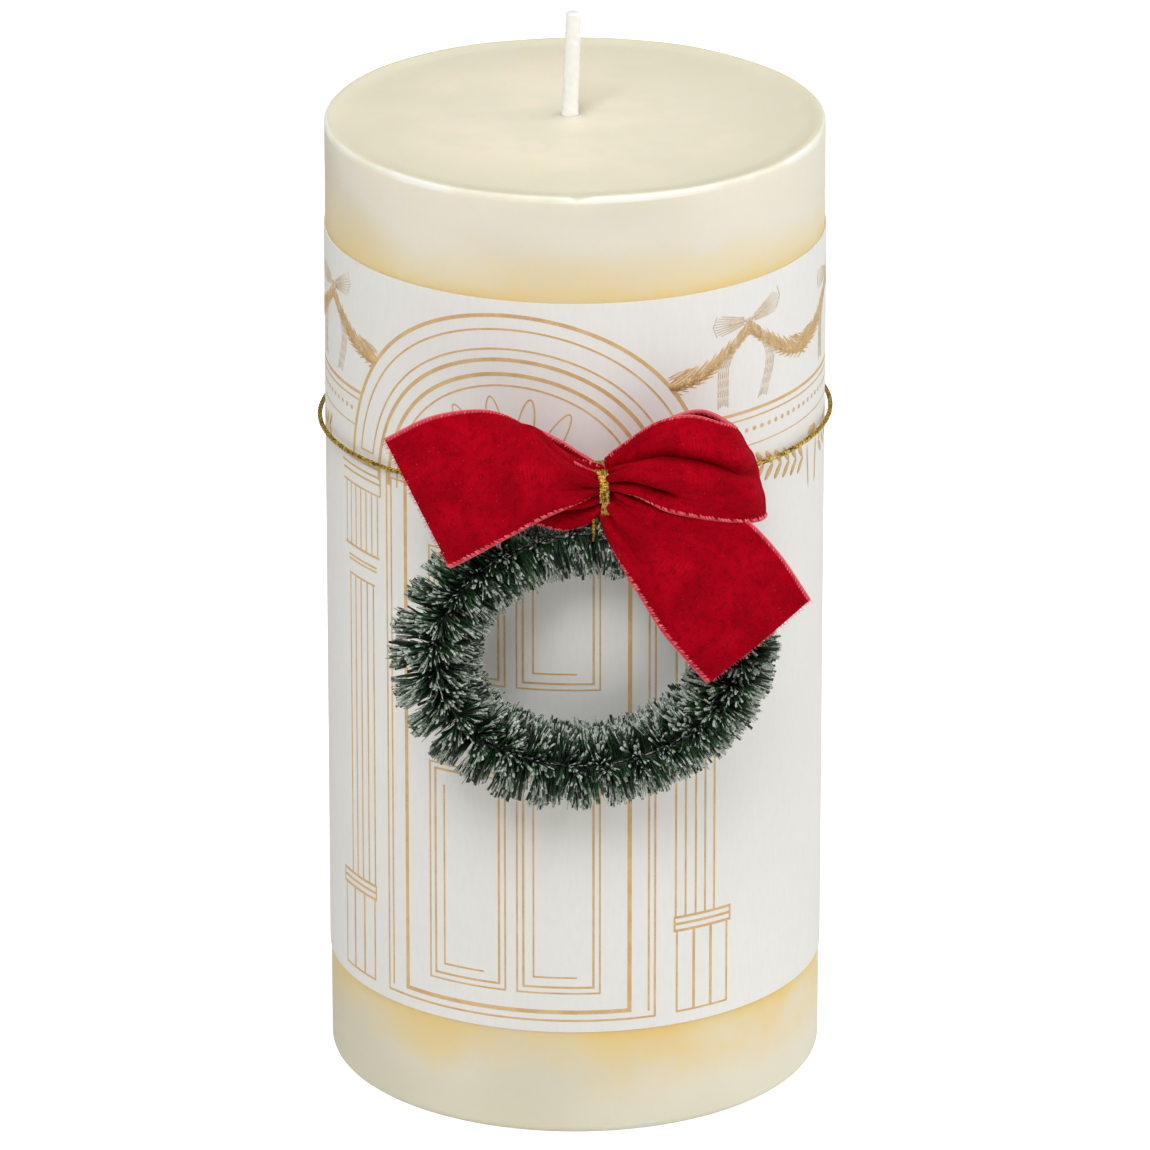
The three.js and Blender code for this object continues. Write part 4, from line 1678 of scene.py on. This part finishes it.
    def edges(self, stretch: Stretch, surface: np.ndarray) -> bpy.types.Object:
        """The bound edges: slanting stitches over both edges, a core yarn along them, and the frayed end."""
        stitch = primitive("uv_sphere", "stitch", segments=6, ring_count=4, radius=1.0)
        basis, origin = [], []
        down = np.gradient(surface, axis=0)
        side = np.gradient(surface, axis=1)
        draw = np.random.default_rng(len(stretch.name))
        pile = np.cross(down, side)
        for column, sign, scale in ((0, 1.0, 0.7), (surface.shape[1] - 1, -1.0, 1.0)):
            line = surface[:, column]
            run = run_along(line)
            for at in np.arange(self.stitch_pitch, run[-1], self.stitch_pitch):
                row = int(np.searchsorted(run, at))
                along = unit(down[row, column])
                inward = unit(side[row, column]) * sign
                face = unit(pile[row, column])
                lean = unit(inward * 0.75 + along * (0.65 + 0.12 * draw.normal()))
                length = self.stitch_length * scale * (0.85 + 0.3 * draw.random())
                thick = 0.28 * MM * scale * (0.85 + 0.3 * draw.random())
                raised = self.thickness / 2 + 0.24 * MM * scale
                basis.append([thick * unit(np.cross(face, lean)), raised * face, length / 2 * lean])
                origin.append(line[row] + inward * (length * 0.28))
        stitches = copies(stretch.name + "_binding", stitch, np.array(basis), np.array(origin))
        smooth(stitches, 180)
        parts = [stitches]
        cores = [surface[:, 0], surface[:, -1]]
        core = tube("core", cores, 0.26 * MM, False)
        mark(core, "tone", np.full(len(core.data.vertices), 0.6))
        parts.append(core)
        if stretch.cut_end:
            parts.append(self.fray(surface, draw))
        return joined(stretch.name + "_edges", parts)

    def fray(self, surface: np.ndarray, draw: np.random.Generator) -> bpy.types.Object:
        """The short loose fibres along a cut end."""
        fibre = primitive(
            "cone", "fibre", vertices=4, radius1=1.0, radius2=0.35, depth=1.0, location=(0, 0, 0.5)
        )
        line = surface[-1]
        heading = unit(surface[-1, surface.shape[1] // 2] - surface[-3, surface.shape[1] // 2])
        across = unit(line[-1] - line[0])
        face = unit(np.cross(heading, across))
        count = int(np.linalg.norm(line[-1] - line[0]) / self.fray_pitch)
        basis, origin = [], []
        for index in range(count):
            share = (index + draw.random()) / count * (len(line) - 1)
            spot = line[int(share)] + face * draw.normal(0, 0.16 * MM)
            lean = unit(heading + across * draw.normal(0, 0.45) + face * draw.normal(0, 0.3))
            length = 0.9 * MM * (0.5 + 0.8 * draw.random())
            wide = unit(np.cross(lean, face)) * 0.05 * MM
            basis.append([wide, unit(np.cross(lean, wide)) * 0.05 * MM, lean * length])
            origin.append(spot - heading * 0.35 * MM)
        return copies("fray", fibre, np.array(basis), np.array(origin))

    def waist(self) -> bpy.types.Object:
        """The gathered middle that the winding squeezes."""
        low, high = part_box("tie_wraps")
        middle_x = (low.x + high.x) / 2
        waist = primitive("uv_sphere", "ribbon_waist", segments=48, ring_count=24, radius=1.0)
        points = points_of(waist)
        turn = np.arctan2(points[:, 2], points[:, 1])
        pleats = 1 + 0.07 * np.sin(7 * turn)
        points[:, 0] = middle_x + points[:, 0] * 2.7 * MM
        points[:, 1] = -42.6 * MM + points[:, 1] * 1.8 * MM * pleats
        points[:, 2] = 108.2 * MM + points[:, 2] * 2.9 * MM * pleats
        place_points(waist, points)
        smooth(waist, 60)
        return waist

    def tie(self) -> bpy.types.Object:
        """The winding: turns of twisted gold yarn round the bow's middle, pressed flat behind the cord."""
        low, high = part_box("tie_wraps")
        middle_x = (low.x + high.x) / 2
        turns = 5
        angle = np.linspace(0, 2 * math.pi * turns, 90 * turns)
        share = angle / angle[-1]
        spread = 0.62 + 0.38 * np.sin(angle)
        x = middle_x + (share - 0.5) * 1.9 * MM * spread + 0.15 * MM * np.sin(3.1 * angle)
        square = np.sign(np.cos(angle)) * np.abs(np.cos(angle)) ** 0.7
        y = -42.6 * MM - 4.3 * MM * square * (1 + 0.02 * np.sin(5 * angle))
        rise = np.sign(np.sin(angle)) * np.abs(np.sin(angle)) ** 0.7
        z = 107.3 * MM + 4.2 * MM * rise - 0.4 * MM * (1 - square) * np.maximum(-rise, 0)
        route = np.c_[x, y, z]
        strands = twisted(route, 3, 0.17 * MM, 34 * turns // 2, False)
        tail_share = np.linspace(0, 1, 60)
        tail = np.c_[
            middle_x - (0.3 + 0.6 * tail_share) * MM,
            (-44.9 - 0.7 * tail_share) * MM,
            (105.6 - 3.4 * tail_share) * MM,
        ]
        tail[:, 0] += 0.25 * MM * np.sin(4 * tail_share)
        strands_tail = twisted(tail, 3, 0.13 * MM, 6, False)
        winding = tube("winding", strands, 0.17 * MM, False)
        tie = joined("gold_tie", [winding, tube("thread", strands_tail, 0.13 * MM, False)])
        points = points_of(tie)
        reach = np.hypot(points[:, 0], points[:, 1])
        depth = np.clip((reach / MM - 37.9) / 2.0, 0, 1)
        pressed = np.where(reach < 39.9 * MM, (38.42 + 1.48 * depth**3) * MM, reach)
        points[:, :2] *= (pressed / reach)[:, None]
        place_points(tie, points)
        return tie


# ---------------------------------------------------------------- wreath


@dataclass
class BrushWreath:
    """The small wreath: two wires twisted round a brush of film strips, hung in a loop of gold thread."""

    bristles: int = 12400
    length: float = 6.5 * MM
    film: float = 0.46 * MM
    twists: int = 14
    spread: float = 0.3
    fan: float = 0.22
    dwell: float = 0.4
    filler: float = 0.16
    half_width: float = 23.1 * MM
    half_height: float = 18.7 * MM
    centre: Point = (-2.8 * MM, -45.4 * MM, 83.1 * MM)
    body: str = "wreath"
    hanger_body: str = "hanger"

    def build(self) -> list[bpy.types.Object]:
        """Models and dresses the wreath.

        Returns:
            Its pieces.
        """
        film = FrostedFilm().make()
        brush = self.brush()
        for half in brush:
            dress(half, film)
            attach(half, self.body)
            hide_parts("wreath_brush")
        hanger = self.hanger()
        dress(hanger, GoldThread().make())
        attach(hanger, self.hanger_body)
        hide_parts("wreath_hanger")
        metal = BareMetal("core_wire", shade(52, 60, 56), shade(96, 106, 100)).make()
        names = ("wreath_wire_a", "wreath_wire_b")
        wires = [dress(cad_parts[name], metal) for name in names]
        return [*brush, hanger, *wires]

    def ring(self, angle: np.ndarray) -> tuple[np.ndarray, np.ndarray, np.ndarray]:
        """The oval's points, its outward directions and its headings; angles run from the top towards +X."""
        flat = np.zeros_like(angle)
        oval = np.c_[self.half_width * np.sin(angle), flat, self.half_height * np.cos(angle)]
        spots = oval + np.array(self.centre)
        out = np.c_[self.half_height * np.sin(angle), flat, self.half_width * np.cos(angle)]
        out /= np.linalg.norm(out, axis=1)[:, None]
        heading = np.c_[self.half_width * np.cos(angle), flat, -self.half_height * np.sin(angle)]
        heading /= np.linalg.norm(heading, axis=1)[:, None]
        return spots, out, heading

    def room(self, angle: np.ndarray, lean: np.ndarray) -> np.ndarray:
        """How much of its length each bristle keeps, where the bow or the wrap presses on it."""
        off_top = np.abs((angle + math.pi) % (2 * math.pi) - math.pi)
        near_top = 1 - np.clip((off_top - 0.32) / 0.35, 0, 1)
        upwards = np.clip(lean[:, 2], 0, 1)
        forwards = np.clip(-lean[:, 1], 0, 1)
        keep = 1 - near_top * np.clip(1.15 * upwards + 0.42 * forwards, 0, 0.85)
        return keep

    def brush(self) -> list[bpy.types.Object]:
        """The strips: rooted between the wires and fanned out in the flights that the twist makes."""
        strip = primitive("cylinder", "strip", vertices=3, radius=0.5, depth=1.0, location=(0, 0, 0.5))
        with editing(strip):
            cut_through((0.0, 0.0, 0.55), (0.0, 0.0, 1.0))
        draw = np.random.default_rng(7)
        count = self.bristles
        angle = (np.arange(count) + draw.random(count)) / count * 2 * math.pi
        turn = self.twists * angle
        turn += (np.arange(count) % 2) * math.pi - self.dwell * np.sin(2 * turn)
        filling = draw.random(count) < self.filler
        anywhere = draw.uniform(-1.6, 1.6, count)
        turn += np.where(filling, anywhere, draw.uniform(-self.spread, self.spread, count))
        spots, out, heading = self.ring(angle + draw.normal(0, 0.012, count))
        front = np.array([0.0, -1.0, 0.0])
        lean = out * np.cos(turn)[:, None] + front * np.sin(turn)[:, None]
        lean += heading * draw.uniform(-self.fan, self.fan, count)[:, None]
        lean /= np.linalg.norm(lean, axis=1)[:, None]
        long = self.length * (0.86 + 0.2 * draw.random(count)) * self.room(angle, lean)
        long *= np.where(filling, 0.35 + 0.4 * draw.random(count), 1.0)
        outside = np.clip((lean * out).sum(1), 0, 1)
        long *= 1 - 0.2 * np.clip(np.sin(angle - 0.35), 0, 1) * outside
        back_room = (-self.centre[1] - 38.6 * MM) / np.maximum(lean[:, 1], 1e-3)
        long = np.where(lean[:, 1] > 0.3, np.minimum(long, back_room), long)
        wide = np.cross(lean, draw.normal(0, 1, (count, 3)))
        wide /= np.linalg.norm(wide, axis=1)[:, None]
        thick = np.cross(lean, wide)
        width = self.film * (0.7 + 0.6 * draw.random(count))
        root = spots + lean * 0.25 * MM
        basis = np.stack([wide * width[:, None], thick * 0.09 * MM, lean * long[:, None]], 1)
        right = np.sin(angle) > 0
        halves = []
        for name, chosen in (("wreath_bristles_right", right), ("wreath_bristles_left", ~right)):
            model = strip.copy()
            model.data = strip.data.copy()
            half = copies(name, model, basis[chosen], root[chosen])
            self.curl(half, draw)
            halves.append(half)
        bpy.data.objects.remove(strip)
        return halves

    def curl(self, half: bpy.types.Object, draw: np.random.Generator) -> None:
        """Bends each strip a little out of straight."""
        per_strip = 9
        points = points_of(half).reshape(-1, per_strip, 3)
        along = np.empty(len(half.data.vertices))
        half.data.attributes["along"].data.foreach_get("value", along)
        along = along.reshape(-1, per_strip, 1)
        bend = draw.normal(0, 0.28 * MM, (len(points), 1, 3))
        place_points(half, (points + bend * along**2).reshape(-1, 3))

    def hanger(self) -> bpy.types.Object:
        """The loop of gold thread that the wires hang in."""
        low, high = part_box("wreath_hanger")
        middle = (low + high) / 2
        radius = (high.z - low.z) / 2 - 0.3 * MM
        angle = np.linspace(0, 2 * math.pi, 120, endpoint=False)
        y, z = middle.y + radius * np.cos(angle), middle.z + radius * np.sin(angle)
        ring = np.c_[np.full_like(angle, middle.x), y, z]
        return tube("hanger_thread", twisted(ring, 3, 0.14 * MM, 7, True), 0.14 * MM, True)


# ---------------------------------------------------------------- assembly


def main() -> None:
    """Builds the studio and then the object, in order, and logs each piece's face count."""
    logging.basicConfig(level=logging.INFO, format="%(name)s: %(message)s")
    Studio().build()
    for assembly in (PillarCandle(), PrintedWrap(), GoldCord(), VelvetBow(), BrushWreath()):
        for piece in assembly.build():
            LOG.info("%s: %s, %d faces", type(assembly).__name__, piece.name, len(piece.data.polygons))


if __name__ == "__main__":
    main()
